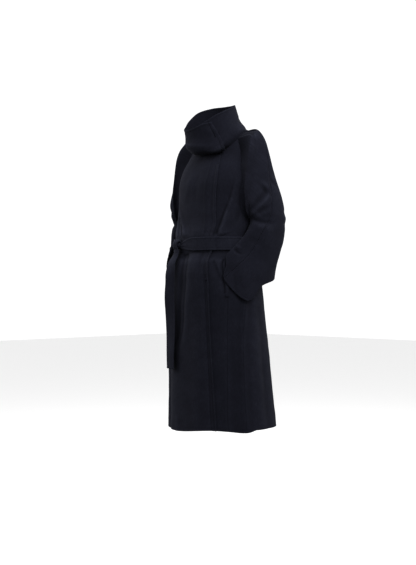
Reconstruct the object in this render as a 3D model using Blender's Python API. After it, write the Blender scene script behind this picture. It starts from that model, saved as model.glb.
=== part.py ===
# Belted wrap coat in double-faced wool, hollow and standing in its worn shape,
# with both sleeves bent so that their cuffs rest at the pockets.
# Sizes are millimetres until a mesh is written. +Z is up, the front faces -Y
# and +X is the wearer's left. The origin is the middle of the neck base.
import math

import bmesh
import bpy
import numpy as np

OBJECT_NAME = "belted_coat"
MM = 0.001

CLOTH = 2.4
LAYER = 3.0
SEAM_PULL = 0.25
BELT_CLOTH = 4.0
BELT_WIDTH = 47.0
BELT_HEIGHT = -407.0
BELT_LIFT = CLOTH / 2 + 0.6 + BELT_CLOTH / 2
WELT_CLOTH = 1.6
WELT_WIDTH = 15.0
ARMPIT = -322.0
YOKE = -180.0
DEGREE = 2.97

# Body rings: height, middle of the depth, half width, half depth.
BODY_RINGS = [
    (-1066, 3, 210, 165),
    (-930, -6, 201, 157),
    (-820, -13, 195, 152),
    (-677, -23, 187.5, 145.5),
    (-590, -29, 185.5, 144),
    (-541, -31, 183, 142),
    (-500, -36, 177, 138),
    (-470, -38, 169, 131),
    (-445, -33, 159.5, 121.5),
    (-436, -31, 158, 120),
    (-378, -31, 158, 120),
    (-368, -27, 160, 122),
    (-338, -9, 169, 129),
    (-290, -1, 172, 132),
    (-212, 2, 172, 133),
    (-180, 2, 170, 132),
]
NECK_RING = (0, 97, 80)

# Neck seam: angle from the front, height.
NECK_HEIGHTS = [
    (0, -92), (30, -84), (52, -68), (70, -45), (80, -33),
    (90, -20), (105, -4), (130, 8), (180, 15),
]

# Right front edge: height, angle from the middle of the front. The hidden left edge mirrors it.
WRAP_EDGE = [
    (-1062, 32.6), (-943, 31.7), (-690, 30.3), (-529, 30.3), (-450, 32), (-436, 33),
    (-378, 34), (-340, 32.5), (-293, 30.4), (-236, 30.4), (-182, 32.3), (-104, 37), (-70, 40),
]

# Side seam: height, angle.
SIDE_SEAM = [
    (-1066, 64.5), (-934, 65), (-860, 65.8), (-787, 66.8), (-713, 68.9),
    (-649, 72.7), (-600, 76), (-450, 80), (-380, 82), (-322, 84),
]

# Hem: angle from the front, height.
HEM = [
    (-180, -1050), (-110, -1052), (-78, -1060), (-51, -1066), (-11, -1064), (28, -1052),
    (45, -1054), (60, -1058), (70, -1056), (78, -1050), (110, -1050), (180, -1050),
]
HEM_START = -590.0

# Armhole seams, up from the underarm: angle, height.
FRONT_ARMHOLE = [
    (84, -322), (75, -312), (66, -298), (62.5, -272), (62, -230),
    (65, -188), (67.5, -130), (74, -85), (80, -33),
]
BACK_ARMHOLE = [
    (84, -322), (98, -311), (110, -296), (117, -270), (119, -228),
    (118, -186), (116, -130), (116, -75), (120, 3),
]

SKIRT_ROWS = [
    -1066, -1036, -990, -935, -880, -825, -770, -716, -664, -616, -574, -538,
    -508, -482, -462, -447, -436, -407, -378, -367, -354, -338,
]
ARMHOLE_STEPS = 10
WRAP_STEPS = 9
FRONT_STEPS = 7
BACK_STEPS = 22
NECK_STEPS = 2
SLEEVE_SHARES = [
    0.0, 0.35, 0.7, 1.0, 1.5, 2.0, 2.5, 3.0, 3.4, 3.8, 4.2, 4.6, 5.0, 5.5, 6.0, 6.5, 7.0, 7.5, 8.0,
]

# Folds of the body: lift, half width, share that fades in, share that fades out, (angle, height) points.
BODY_FOLDS = [
    (6.0, 9, 0.04, 0.6, [(36, -374), (44, -300), (53, -190)]),
    (-4.0, 9, 0.1, 0.6, [(29, -374), (34, -300), (41, -230)]),
    (-4.0, 6, 0.1, 0.6, [(-39, -374), (-39, -300)]),
    (-3.5, 5, 0.1, 0.6, [(-31, -374), (-30, -305)]),
    (-3.5, 6, 0.1, 0.5, [(-18, -374), (-24, -300)]),
    (-3.0, 6, 0.1, 0.6, [(4, -374), (2, -310)]),
    (-6.0, 12, 0.06, 0.3, [(-5, -440), (-2, -545), (-7, -665), (-14, -750), (-26, -830)]),
    (6.0, 15, 0.1, 0.5, [(10, -440), (9, -560)]),
    (-4.5, 8, 0.1, 0.5, [(22.6, -440), (22, -560)]),
    (-4.0, 8, 0.1, 0.4, [(38, -462), (46, -530)]),
    (5.0, 13, 0.1, 0.0, [(77, -570), (72.7, -649), (68.9, -713), (66.3, -820), (64.6, -1070)]),
    (5.0, 24, 0.5, 0.0, [(-52, -480), (-58, -1064)]),
    (-4.0, 24, 0.5, 0.0, [(-36, -620), (-40, -1064)]),
    (5.0, 13, 0.1, 0.0, [(-77, -570), (-72.7, -649), (-68.9, -713), (-66.3, -820), (-64.6, -1070)]),
    (-3.0, 16, 0.5, 0.0, [(54, -600), (52, -1064)]),
    (4.0, 30, 0.5, 0.0, [(16, -600), (12, -1064)]),
    (-5.0, 26, 0.5, 0.0, [(102, -470), (100, -1064)]),
    (6.0, 28, 0.5, 0.0, [(124, -470), (126, -1064)]),
    (-5.0, 26, 0.5, 0.0, [(150, -470), (150, -1064)]),
    (6.0, 30, 0.5, 0.0, [(176, -470), (178, -1064)]),
    (-5.0, 26, 0.5, 0.0, [(204, -470), (206, -1064)]),
    (6.0, 28, 0.5, 0.0, [(232, -470), (232, -1064)]),
    (-5.0, 26, 0.5, 0.0, [(256, -470), (258, -1064)]),
    (-3.0, 7, 0.1, 0.7, [(108, -374), (106, -310)]),
    (-3.0, 7, 0.1, 0.7, [(132, -374), (134, -300)]),
    (-3.0, 7, 0.1, 0.7, [(158, -374), (156, -300)]),
    (-3.0, 7, 0.1, 0.7, [(188, -374), (190, -300)]),
    (-3.0, 7, 0.1, 0.7, [(216, -374), (214, -300)]),
    (-3.0, 7, 0.1, 0.7, [(246, -374), (248, -310)]),
    (-3.0, 8, 0.1, 0.7, [(112, -440), (112, -520)]),
    (-3.0, 8, 0.1, 0.7, [(140, -440), (140, -530)]),
    (-3.0, 8, 0.1, 0.7, [(168, -440), (166, -530)]),
    (-3.0, 8, 0.1, 0.7, [(196, -440), (198, -530)]),
    (-3.0, 8, 0.1, 0.7, [(222, -440), (222, -530)]),
]

# Left sleeve rings from the shoulder to the cuff, eight points each in the order
# front, front outer, outer, rear outer, rear, rear inner, inner, front inner.
SLEEVE_RINGS = [
    [(172, -58, -186), (177, -38, -62), (160, 22, -8), (175, 42, -58),
     (170, 82, -170), (176, 46, -290), (184, -8, -326), (178, -48, -292)],
    [(180, -68, -218), (189, -44, -154), (201, 20, -88), (201, 48, -136),
     (190, 88, -226), (190, 48, -312), (190, -6, -336), (182, -50, -300)],
    [(186, -62, -270), (207, -50, -248), (225, 14, -210), (227, 68, -246),
     (206, 94, -285), (194, 58, -342), (190, 2, -350), (182, -48, -314)],
    [(186, -42, -326), (210, -36, -316), (237, 18, -306), (235, 76, -322),
     (214, 92, -340), (195, 64, -374), (188, 10, -368), (180, -30, -340)],
    [(184, -64, -372), (207, -48, -366), (233, -6, -370), (233, 66, -385),
     (216, 86, -392), (196, 64, -408), (188, 12, -394), (173, -44, -378)],
    [(168, -88, -408), (188, -70, -430), (216, -28, -456), (229, 50, -440),
     (212, 70, -440), (196, 56, -444), (190, 4, -422), (164, -70, -408)],
    [(158, -110, -440), (170, -98, -478), (206, -58, -522), (222, 22, -495),
     (212, 58, -488), (198, 42, -474), (190, -12, -442), (156, -94, -426)],
    [(149, -128, -484), (141, -126, -536), (196, -72, -604), (213, -18, -554),
     (215, 44, -530), (201, 26, -500), (188, -34, -458), (148, -114, -441)],
]

# Overarm seam: place along the sleeve, angle round it.
OVERARM_SEAM = [(0, 90), (1, 90), (3, 88), (4, 82), (5, 72), (6, 60), (7, 50), (8, 38)]

# Folds of the left sleeve: lift, half width, points.
SLEEVE_FOLDS = [
    (-5.0, 10, [(190, -34, -158), (185, -50, -200), (178, -62, -246), (174, -64, -284)]),
    (5.0, 12, [(204, -34, -200), (204, -54, -252), (194, -56, -304)]),
    (6.0, 9, [(212, -16, -192), (228, 10, -232), (224, -20, -272), (206, -44, -296), (190, -44, -318)]),
    (-6.0, 10, [(212, -30, -232), (206, -46, -272)]),
    (-5.0, 9, [(198, -43, -326), (217, -28, -332), (234, 3, -336), (239, 41, -325)]),
    (-4.0, 9, [(216, -38, -300), (236, 4, -276)]),
]

# Collar rings from the neck seam to the rim: middle of the depth, half width, half depth, row of heights.
COLLAR_RINGS = [
    (0, 97, 80), (-14, 98, 89), (-32, 95, 97), (-40, 91, 97), (-43.5, 88.5, 94.5),
    (-47, 86.5, 92), (-51.5, 85, 91), (-56.5, 84.5, 90.5),
]
# Heights of those rings: signed angle from the front, then one height per ring.
COLLAR_HEIGHTS = [
    (-180, 15, 26, 38, 50, 62, 74, 85, 96),
    (-135, 9, 18, 29, 42, 54, 67, 80, 91),
    (-105, -4, -1, 4, 16, 30, 45, 60, 75),
    (-75, -39, -36, -30, -18, -4, 10, 25, 41),
    (-45, -74, -68, -58, -46, -33, -20, -6, 7),
    (-20, -87, -82, -73, -62, -49, -34, -19, -5),
    (0, -92, -86, -78, -66, -52, -36, -20, -3),
    (22, -87, -84, -80, -68, -51, -32, -12, 7.5),
    (45, -74, -76, -78, -67, -45, -20, 5, 29),
    (62, -56, -58, -58, -44, -21, 3, 25, 46),
    (80, -33, -28, -18, -2, 16, 32, 46, 59.5),
    (105, -4, 2, 10, 22, 36, 50, 62, 76),
    (135, 9, 18, 28, 40, 54, 68, 80, 91),
    (180, 15, 26, 38, 50, 62, 74, 85, 96),
]
# How far round the end of the upper side runs past the front edge, one angle per ring.
COLLAR_TAB = [0, 13, 22, 23.5, 20.5, 17, 13, 9.5]
# How far the rim of that end drops at its corner.
COLLAR_DROP = 15.0
COLLAR_LIFT = 4.2

KNOT_ANGLE = -22.0
BELT_NARROW = 26.0
KNOT_SEAT = 7.5

# Belt tails: height, angle from the front, lift off the coat, width, twist.
FRONT_TAIL = [
    (-423.0, -22, 14, 30, 0), (-450, -21, 15, 38, -8), (-490, -20.5, 16, 36, -25),
    (-530, -20.5, 17, 34, -44), (-570, -21, 17, 36, -44), (-640, -22, 15, 44, -24),
    (-720, -22.5, 14, 47, -12), (-800, -23, 15, 47, -6), (-846, -23, 15, 47, -4),
]
REAR_TAIL = [
    (-427, -26, 9.6, 28, 0), (-450, -29, 8.2, 36, 0), (-480, -32, 6, 42, 0), (-530, -34, 4.5, 44, 0),
    (-600, -34, 4, 46, 2), (-700, -34, 5, 47, 2), (-815, -34, 6, 47, 2),
]
TAIL_CLOTH = 4.0

POCKET_ANGLE = 51.5
POCKET_TOP = -446.0
POCKET_FOOT = -590.0


def curve(table, place, column=1):
    # Smooth curve through one column of a table whose first column is the place along it.
    rows = np.array(table, float)
    keys = rows[:, 0]
    values = rows[:, column]
    slopes = np.gradient(values, keys)
    rises = np.diff(values)
    slopes[1:-1] = np.where(rises[1:] * rises[:-1] <= 1e-9, 0.0, slopes[1:-1])
    place = np.clip(np.asarray(place, float), keys[0], keys[-1])
    low = np.clip(np.searchsorted(keys, place) - 1, 0, len(keys) - 2)
    span = keys[low + 1] - keys[low]
    t = (place - keys[low]) / span
    start = values[low] * (2 * t**3 - 3 * t**2 + 1) + slopes[low] * span * (t**3 - 2 * t**2 + t)
    end = values[low + 1] * (3 * t**2 - 2 * t**3) + slopes[low + 1] * span * (t**3 - t**2)
    return start + end


def ease(value):
    value = np.clip(value, 0.0, 1.0)
    return value * value * (3 - 2 * value)


def turned(angle):
    # Angle folded into -180 to 180 degrees.
    return (np.asarray(angle, float) + 180.0) % 360.0 - 180.0


def neck_height(angle):
    return curve(NECK_HEIGHTS, np.abs(turned(angle)))


def body_base(angle, height):
    # Smooth body of the coat, from the hem to the neck seam.
    angle = np.asarray(angle, float)
    height = np.asarray(height, float)
    low = np.minimum(height, YOKE)
    mid, wide, deep = (curve(BODY_RINGS, low, column) for column in (1, 2, 3))
    share = np.clip((height - YOKE) / (neck_height(angle) - YOKE), 0, 1) ** 1.6
    mid = mid + (NECK_RING[0] - mid) * share
    wide = wide + (NECK_RING[1] - wide) * share
    deep = deep + (NECK_RING[2] - deep) * share
    turn = np.radians(angle)
    return np.stack([wide * np.sin(turn), mid - deep * np.cos(turn), height + 0 * turn], axis=-1)


def line_lift(points, line, width, fade_in, fade_out):
    # Bell-shaped lift about a bent line, with its ends faded; the last axis holds the coordinates.
    lengths = [math.dist(a, b) for a, b in zip(line, line[1:])]
    total = sum(lengths)
    best = np.full(points.shape[:-1], 1e9)
    along = np.zeros(points.shape[:-1])
    walked = 0.0
    for start, end, length in zip(line, line[1:], lengths):
        first = np.array(start, float)
        step = np.array(end, float) - first
        share = np.clip(((points - first) @ step) / length**2, 0, 1)
        gap = np.linalg.norm(points - first - share[..., None] * step, axis=-1)
        nearer = gap < best
        best = np.where(nearer, gap, best)
        along = np.where(nearer, (walked + share * length) / total, along)
        walked += length
    lift = np.exp(-(best / width) ** 2)
    if fade_in:
        lift = lift * ease(along / fade_in)
    if fade_out:
        lift = lift * ease((1 - along) / fade_out)
    return lift


def body_lift(angle, height):
    # All body folds together, kept flat under the belt.
    lift = np.zeros(np.broadcast(angle, height).shape)
    for size, width, fade_in, fade_out, line in BODY_FOLDS:
        middle = sum(point[0] for point in line) / len(line)
        near = middle + turned(np.asarray(angle, float) - middle)
        places = np.stack([near * DEGREE, height + 0 * near], axis=-1)
        path = [(a * DEGREE, z) for a, z in line]
        lift = lift + size * line_lift(places, path, width, fade_in, fade_out)
    flat = ease((np.abs(height - BELT_HEIGHT) - 30) / 26)
    return lift * flat


def body(angle, height):
    # Body with its folds, lifted square to the smooth shape.
    base = body_base(angle, height)
    mid, wide, deep = (curve(BODY_RINGS, np.minimum(height, YOKE), column) for column in (1, 2, 3))
    turn = np.radians(angle)
    out = np.stack([np.sin(turn) / wide, -np.cos(turn) / deep, 0 * turn + 0 * wide], axis=-1)
    out = out / np.linalg.norm(out, axis=-1, keepdims=True)
    return base + out * body_lift(angle, height)[..., None]


def armhole(table, steps):
    # Even steps along an armhole seam, as angles and heights.
    rows = np.array(table, float)
    points = body_base(rows[:, 0], rows[:, 1])
    walked = np.concatenate([[0], np.cumsum(np.linalg.norm(np.diff(points, axis=0), axis=1))])
    places = np.linspace(0, walked[-1], steps + 1)
    keyed = np.column_stack([walked, rows])
    angles = curve(keyed, places, 1)
    heights = curve(keyed, places, 2)
    angles[0], heights[0] = table[0]
    angles[-1] = table[-1][0]
    heights[-1] = neck_height(table[-1][0])
    return angles, heights


def height_share(angle, height):
    return (height - ARMPIT) / (neck_height(angle) - ARMPIT)


def rows_above(angles, share):
    return ARMPIT + (neck_height(angles) - ARMPIT) * share


def wrap_angle(height):
    return curve(WRAP_EDGE, height)


def front_columns(height, seam_angle):
    # Angles of one row of the left front, from its hidden edge to its seam.
    edge = float(wrap_angle(height))
    wrapped = np.linspace(-edge, edge, WRAP_STEPS + 1)
    rest = np.linspace(edge, seam_angle, FRONT_STEPS + 1)[1:]
    return np.concatenate([wrapped, rest])


def skirt_row(angles, height):
    # One row of the skirt, eased down to the hem's own height.
    angles = np.asarray(angles, float)
    share = max(0.0, (HEM_START - height) / (HEM_START - SKIRT_ROWS[0]))
    heights = height + share * (curve(HEM, turned(angles)) - SKIRT_ROWS[0])
    return body(angles, heights)


def front_patch():
    # Left front: rows up from the hem, columns from the hidden edge to the seam.
    seam_angles, seam_heights = armhole(FRONT_ARMHOLE, ARMHOLE_STEPS)
    rows = []
    for height in SKIRT_ROWS:
        angles = front_columns(height, float(curve(SIDE_SEAM, height)))
        rows.append(skirt_row(angles, height))
    for angle, height in zip(seam_angles, seam_heights):
        share = float(height_share(angle, height))
        guess = ARMPIT + (-80 - ARMPIT) * share
        angles = front_columns(guess, float(angle))
        rows.append(body(angles, rows_above(angles, share)))
    return np.array(rows)


def mirrored(patch):
    return patch[:, ::-1] * np.array([-1.0, 1.0, 1.0])


def right_front_patch():
    # Right front: the same grid turned over, with folds of its own side.
    seam_angles, seam_heights = armhole(FRONT_ARMHOLE, ARMHOLE_STEPS)
    rows = []
    for height in SKIRT_ROWS:
        angles = -front_columns(height, float(curve(SIDE_SEAM, height)))[::-1]
        rows.append(skirt_row(angles, height))
    for angle, height in zip(seam_angles, seam_heights):
        share = float(height_share(angle, height))
        guess = ARMPIT + (-80 - ARMPIT) * share
        angles = -front_columns(guess, float(angle))[::-1]
        rows.append(body(angles, rows_above(angles, share)))
    return np.array(rows)


def back_patch():
    # Back: columns from the left seam round to the right one.
    seam_angles, seam_heights = armhole(BACK_ARMHOLE, ARMHOLE_STEPS)
    rows = []
    for height in SKIRT_ROWS:
        side = float(curve(SIDE_SEAM, height))
        angles = np.linspace(side, 360 - side, BACK_STEPS + 1)
        rows.append(skirt_row(angles, height))
    for angle, height in zip(seam_angles, seam_heights):
        share = float(height_share(angle, height))
        angles = np.linspace(angle, 360 - angle, BACK_STEPS + 1)
        rows.append(body(angles, rows_above(angles, share)))
    return np.array(rows)


def neck_points(first, last, steps):
    angles = np.linspace(first, last, steps + 1)
    return body(angles, neck_height(angles))


def loop_point(ring, angle):
    # Closed smooth curve through the eight points of a sleeve ring.
    points = np.array(ring, float)
    place = (angle % 360.0) / 45.0
    low = int(math.floor(place)) % 8
    t = place - math.floor(place)
    a, b, c, d = (points[(low + step) % 8] for step in (-1, 0, 1, 2))
    return 0.5 * (2 * b + (c - a) * t + (2 * a - 5 * b + 4 * c - d) * t**2 + (3 * b - a - 3 * c + d) * t**3)


def sleeve_fold(points):
    lift = np.zeros(points.shape[:-1])
    for size, width, line in SLEEVE_FOLDS:
        lift = lift + size * line_lift(points, line, width, 0.15, 0.15)
    return lift


def clear_of_body(points, share):
    # Sleeve points pushed out until they stand clear of the coat's side and of its belt.
    room = 7 * ease(share / 0.7) + 8 * ease((44 - np.abs(points[..., 2] - BELT_HEIGHT)) / 20)
    low = np.minimum(points[..., 2], YOKE)
    mid, wide, deep = (curve(BODY_RINGS, low, column) for column in (1, 2, 3))
    across = points[..., 0] / (wide + room)
    along = (points[..., 1] - mid) / (deep + room)
    reach = np.sqrt(across**2 + along**2)
    push = np.where((reach < 1) & (points[..., 2] < -200), 1 / np.maximum(reach, 0.2), 1.0)
    pushed = points.copy()
    pushed[..., 0] = points[..., 0] * push
    pushed[..., 1] = mid + (points[..., 1] - mid) * push
    return pushed


def sleeve_start():
    # The armhole with its bit of the neck seam: up the front to the shoulder, then down the back.
    front = body(*armhole(FRONT_ARMHOLE, ARMHOLE_STEPS))
    back = body(*armhole(BACK_ARMHOLE, ARMHOLE_STEPS))
    shoulder = 0.5 * (FRONT_ARMHOLE[-1][0] + BACK_ARMHOLE[-1][0])
    front_neck = neck_points(FRONT_ARMHOLE[-1][0], shoulder, NECK_STEPS)[1:]
    back_neck = neck_points(shoulder, BACK_ARMHOLE[-1][0], NECK_STEPS)[1:-1]
    return np.concatenate([front, front_neck, back_neck, back[::-1]])


def sleeve_patches():
    # Front and back halves of the left sleeve, rows up from the cuff.
    first = sleeve_start()
    half = ARMHOLE_STEPS + NECK_STEPS
    keys = list(range(len(SLEEVE_RINGS) + 1))
    rows = [first]
    for share in SLEEVE_SHARES[1:]:
        overarm = float(curve(OVERARM_SEAM, share))
        angles = np.concatenate([
            np.linspace(-90, overarm, half + 1), np.linspace(overarm, 270, half + 1)[1:],
        ])
        row = []
        for index, angle in enumerate(angles):
            path = [first[index]] + [loop_point(ring, angle) for ring in SLEEVE_RINGS]
            table = [(key, *point) for key, point in zip(keys, path)]
            row.append([float(curve(table, share, axis)) for axis in (1, 2, 3)])
        rows.append(row)
    grid = np.array(rows)[::-1]
    shares = np.array(SLEEVE_SHARES)[::-1, None] + 0 * grid[..., 0]
    lift = sleeve_fold(grid) * ease(shares)
    grid = clear_of_body(grid + tube_normals(grid) * lift[..., None], shares)
    grid[:, -1] = grid[:, 0]
    grid[-1] = first
    return grid[:, :half + 1], grid[:, half:]


def tube_normals(grid):
    # Normals of a grid whose last column lies on its first.
    wide = np.concatenate([grid[:, -2:-1], grid, grid[:, 1:2]], axis=1)
    return grid_normals(wide)[:, 1:-1]


def grid_normals(grid):
    across = np.gradient(grid, axis=1)
    upward = np.gradient(grid, axis=0)
    normals = np.cross(across, upward)
    return normals / np.maximum(np.linalg.norm(normals, axis=-1, keepdims=True), 1e-9)


def collar_patch(angles):
    # Collar sheet from its hidden left end round the back to its right end on top.
    rows = []
    tab = ease((angles - 340.0) / 60.0)
    for index, (mid, wide, deep) in enumerate(COLLAR_RINGS):
        here = angles + COLLAR_TAB[index] * tab
        heights = neck_height(here) if index == 0 else curve(COLLAR_HEIGHTS, turned(here), index + 1)
        heights = heights - COLLAR_DROP * np.clip((here - 384.0) / 24.6, 0, 1) ** 1.3 * (index / 7) ** 2
        turn = np.radians(here)
        rows.append(np.stack([wide * np.sin(turn), mid - deep * np.cos(turn), heights], axis=-1))
    return np.array(rows)


def merged_normals(patches):
    # Mean unit face normal at every point, shared by all patches that meet there.
    sums = {}
    for patch in patches:
        diagonal_a = patch[1:, 1:] - patch[:-1, :-1]
        diagonal_b = patch[1:, :-1] - patch[:-1, 1:]
        faces = np.cross(diagonal_a, diagonal_b)
        faces = faces / np.linalg.norm(faces, axis=-1, keepdims=True)
        for row in range(faces.shape[0]):
            for column in range(faces.shape[1]):
                for corner in ((0, 0), (0, 1), (1, 0), (1, 1)):
                    key = point_key(patch[row + corner[0], column + corner[1]])
                    total, count = sums.get(key, (np.zeros(3), 0))
                    sums[key] = (total + faces[row, column], count + 1)
    return {key: total / count for key, (total, count) in sums.items()}


def point_key(point):
    return tuple(int(round(value * 50)) for value in point)


def patch_offsets(patch, means):
    # Half-wall direction at every point, longer where two sheets meet at an angle.
    offsets = np.zeros(patch.shape)
    for row in range(patch.shape[0]):
        for column in range(patch.shape[1]):
            mean = means[point_key(patch[row, column])]
            size = max(np.linalg.norm(mean), 1e-6)
            offsets[row, column] = mean / size / max(size, 0.66)
    return offsets


def unit(vectors):
    return vectors / np.maximum(np.linalg.norm(vectors, axis=-1, keepdims=True), 1e-9)


def pulled_in(points, amount):
    # Points with the border moved in along the sheet, so that neighbours stay apart.
    moved = points.copy()
    moved[0] += unit(points[1] - points[0]) * amount
    moved[-1] += unit(points[-2] - points[-1]) * amount
    moved[:, 0] += unit(points[:, 1] - points[:, 0]) * amount
    moved[:, -1] += unit(points[:, -2] - points[:, -1]) * amount
    return moved


def sheet_solid(name, points, offsets, thickness, material, collection, split="FIXED"):
    # A sheet of cloth: a grid moved to one face, extruded whole and moved to the other face.
    rows, columns = points.shape[:2]
    mesh = bpy.data.meshes.new(name)
    bm = bmesh.new()
    bmesh.ops.create_grid(bm, x_segments=columns - 1, y_segments=rows - 1, size=1)
    flat = points.reshape(-1, 3)
    for vert, place in zip(bm.verts, flat):
        vert.co = place
    bmesh.ops.triangulate(bm, faces=bm.faces[:], quad_method=split)
    geometry = bm.verts[:] + bm.edges[:] + bm.faces[:]
    bmesh.ops.extrude_face_region(bm, geom=geometry, use_keep_orig=True)
    lift = offsets.reshape(-1, 3) * thickness / 2
    count = rows * columns
    for index, vert in enumerate(bm.verts):
        side = -1 if index < count else 1
        vert.co = (flat[index % count] + side * lift[index % count]) * MM
    bmesh.ops.triangulate(bm, faces=[face for face in bm.faces if len(face.verts) > 3])
    bmesh.ops.recalc_face_normals(bm, faces=bm.faces[:])
    bm.to_mesh(mesh)
    bm.free()
    add_object(name, mesh, material, collection)


def add_object(name, mesh, material, collection):
    mesh.materials.append(material)
    piece = bpy.data.objects.new(name, mesh)
    collection.objects.link(piece)
    return piece


def belt_band(waist_angles, waist_offsets, waist_levels, material, collection):
    # The belt round the waist, from one side of the knot round the back to the other.
    start = KNOT_ANGLE + 5.5
    end = KNOT_ANGLE + 360 - 5.5
    inner = [a for a in waist_angles if start + 2 < a < end - 2]
    angles = np.array([start] + inner + [end])
    order = np.argsort(waist_angles)
    keys = np.array(waist_angles)[order]
    normals = np.array(waist_offsets)[order]
    levels = np.interp(angles, keys, np.array(waist_levels)[order])
    outward = unit(np.stack([np.interp(angles, keys, normals[:, axis]) for axis in range(3)], axis=-1))
    ring = body_base(angles, np.full(len(angles), BELT_HEIGHT))
    along = np.minimum(np.abs(angles - start), np.abs(end - angles)) * DEGREE
    half = BELT_NARROW / 2 + (BELT_WIDTH - BELT_NARROW) / 2 * ease(along / 34)
    lift = LAYER * levels + BELT_LIFT
    rows = []
    for share in (-1.0, 0.0, 1.0):
        row = ring + outward * lift[:, None]
        row[:, 2] += share * half
        rows.append(row)
    points = np.array(rows)
    sheet_solid("belt_band", points, np.array([outward] * 3), BELT_CLOTH, material, collection)


def surface_frame(angle, height):
    # Point, outward direction and sideways direction on the smooth body.
    here = body_base(angle, height)
    side = unit(body_base(angle + 0.5, height) - body_base(angle - 0.5, height))
    return here, np.array([side[1], -side[0], 0.0]), side


def belt_tail(name, table, material, collection):
    rows = []
    offsets = []
    heights = np.linspace(table[0][0], table[-1][0], 25)
    flipped = [row for row in reversed(table)]
    for height in heights[::-1]:
        angle, lift, width, twist = (float(curve(flipped, height, column)) for column in (1, 2, 3, 4))
        here, outward, side = surface_frame(angle, height)
        turn = math.radians(twist)
        across = side * math.cos(turn) + outward * math.sin(turn)
        facing = outward * math.cos(turn) - side * math.sin(turn)
        middle = here + outward * (lift + LAYER + CLOTH / 2 + TAIL_CLOTH / 2)
        rows.append([middle + across * (width * share) for share in (-0.5, 0.0, 0.5)])
        offsets.append([facing] * 3)
    sheet_solid(name, np.array(rows), np.array(offsets), TAIL_CLOTH, material, collection)


def belt_knot(material, collection):
    # The pulled-tight knot: a rounded pad with the grooves of the cloth that crosses in it.
    here, outward, side = surface_frame(KNOT_ANGLE, BELT_HEIGHT)
    centre = here + outward * (LAYER + BELT_LIFT + BELT_CLOTH / 2 + KNOT_SEAT) + np.array([0, 0, 3.0])
    mesh = bpy.data.meshes.new("belt_knot")
    bm = bmesh.new()
    bmesh.ops.create_uvsphere(bm, u_segments=20, v_segments=12, radius=1)
    for vert in bm.verts:
        x, y, z = vert.co
        groove = 1 - 0.10 * math.exp(-((x * 0.8 - z * 0.6 - 0.25) / 0.16) ** 2)
        groove -= 0.08 * math.exp(-((x * 0.8 + z * 0.6 + 0.35) / 0.16) ** 2)
        wide = math.copysign(abs(x) ** 0.85, x) * 21 * groove
        tall = math.copysign(abs(z) ** 0.85, z) * 19 * groove
        deep = max(y, -0.75) * 12 * groove
        place = centre + side * wide + outward * deep + np.array([0, 0, tall])
        vert.co = place * MM
    bmesh.ops.remove_doubles(bm, verts=bm.verts[:], dist=1e-6)
    bmesh.ops.triangulate(bm, faces=bm.faces[:])
    bmesh.ops.recalc_face_normals(bm, faces=bm.faces[:])
    bm.to_mesh(mesh)
    bm.free()
    add_object("belt_knot", mesh, material, collection)


def pocket_welt(name, side, material, collection):
    # A narrow welt lying on the front beside the pocket mouth.
    heights = np.linspace(POCKET_FOOT, POCKET_TOP, 9)
    half = WELT_WIDTH / 2 / DEGREE
    rows = []
    offsets = []
    for height in heights:
        angles = side * POCKET_ANGLE + np.linspace(-half, half, 3)
        points = body(angles, np.full(3, height))
        _, outward, _ = surface_frame(side * POCKET_ANGLE, height)
        rows.append(points + outward * (CLOTH / 2 + 1.3 + WELT_CLOTH / 2))
        offsets.append([outward] * 3)
    sheet_solid(name, np.array(rows), np.array(offsets), WELT_CLOTH, material, collection)


def cloth_material(name, colour, roughness):
    material = bpy.data.materials.new(name)
    material.use_nodes = True
    shader = material.node_tree.nodes["Principled BSDF"]
    shader.inputs["Base Color"].default_value = (*colour, 1)
    shader.inputs["Roughness"].default_value = roughness
    return material


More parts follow.
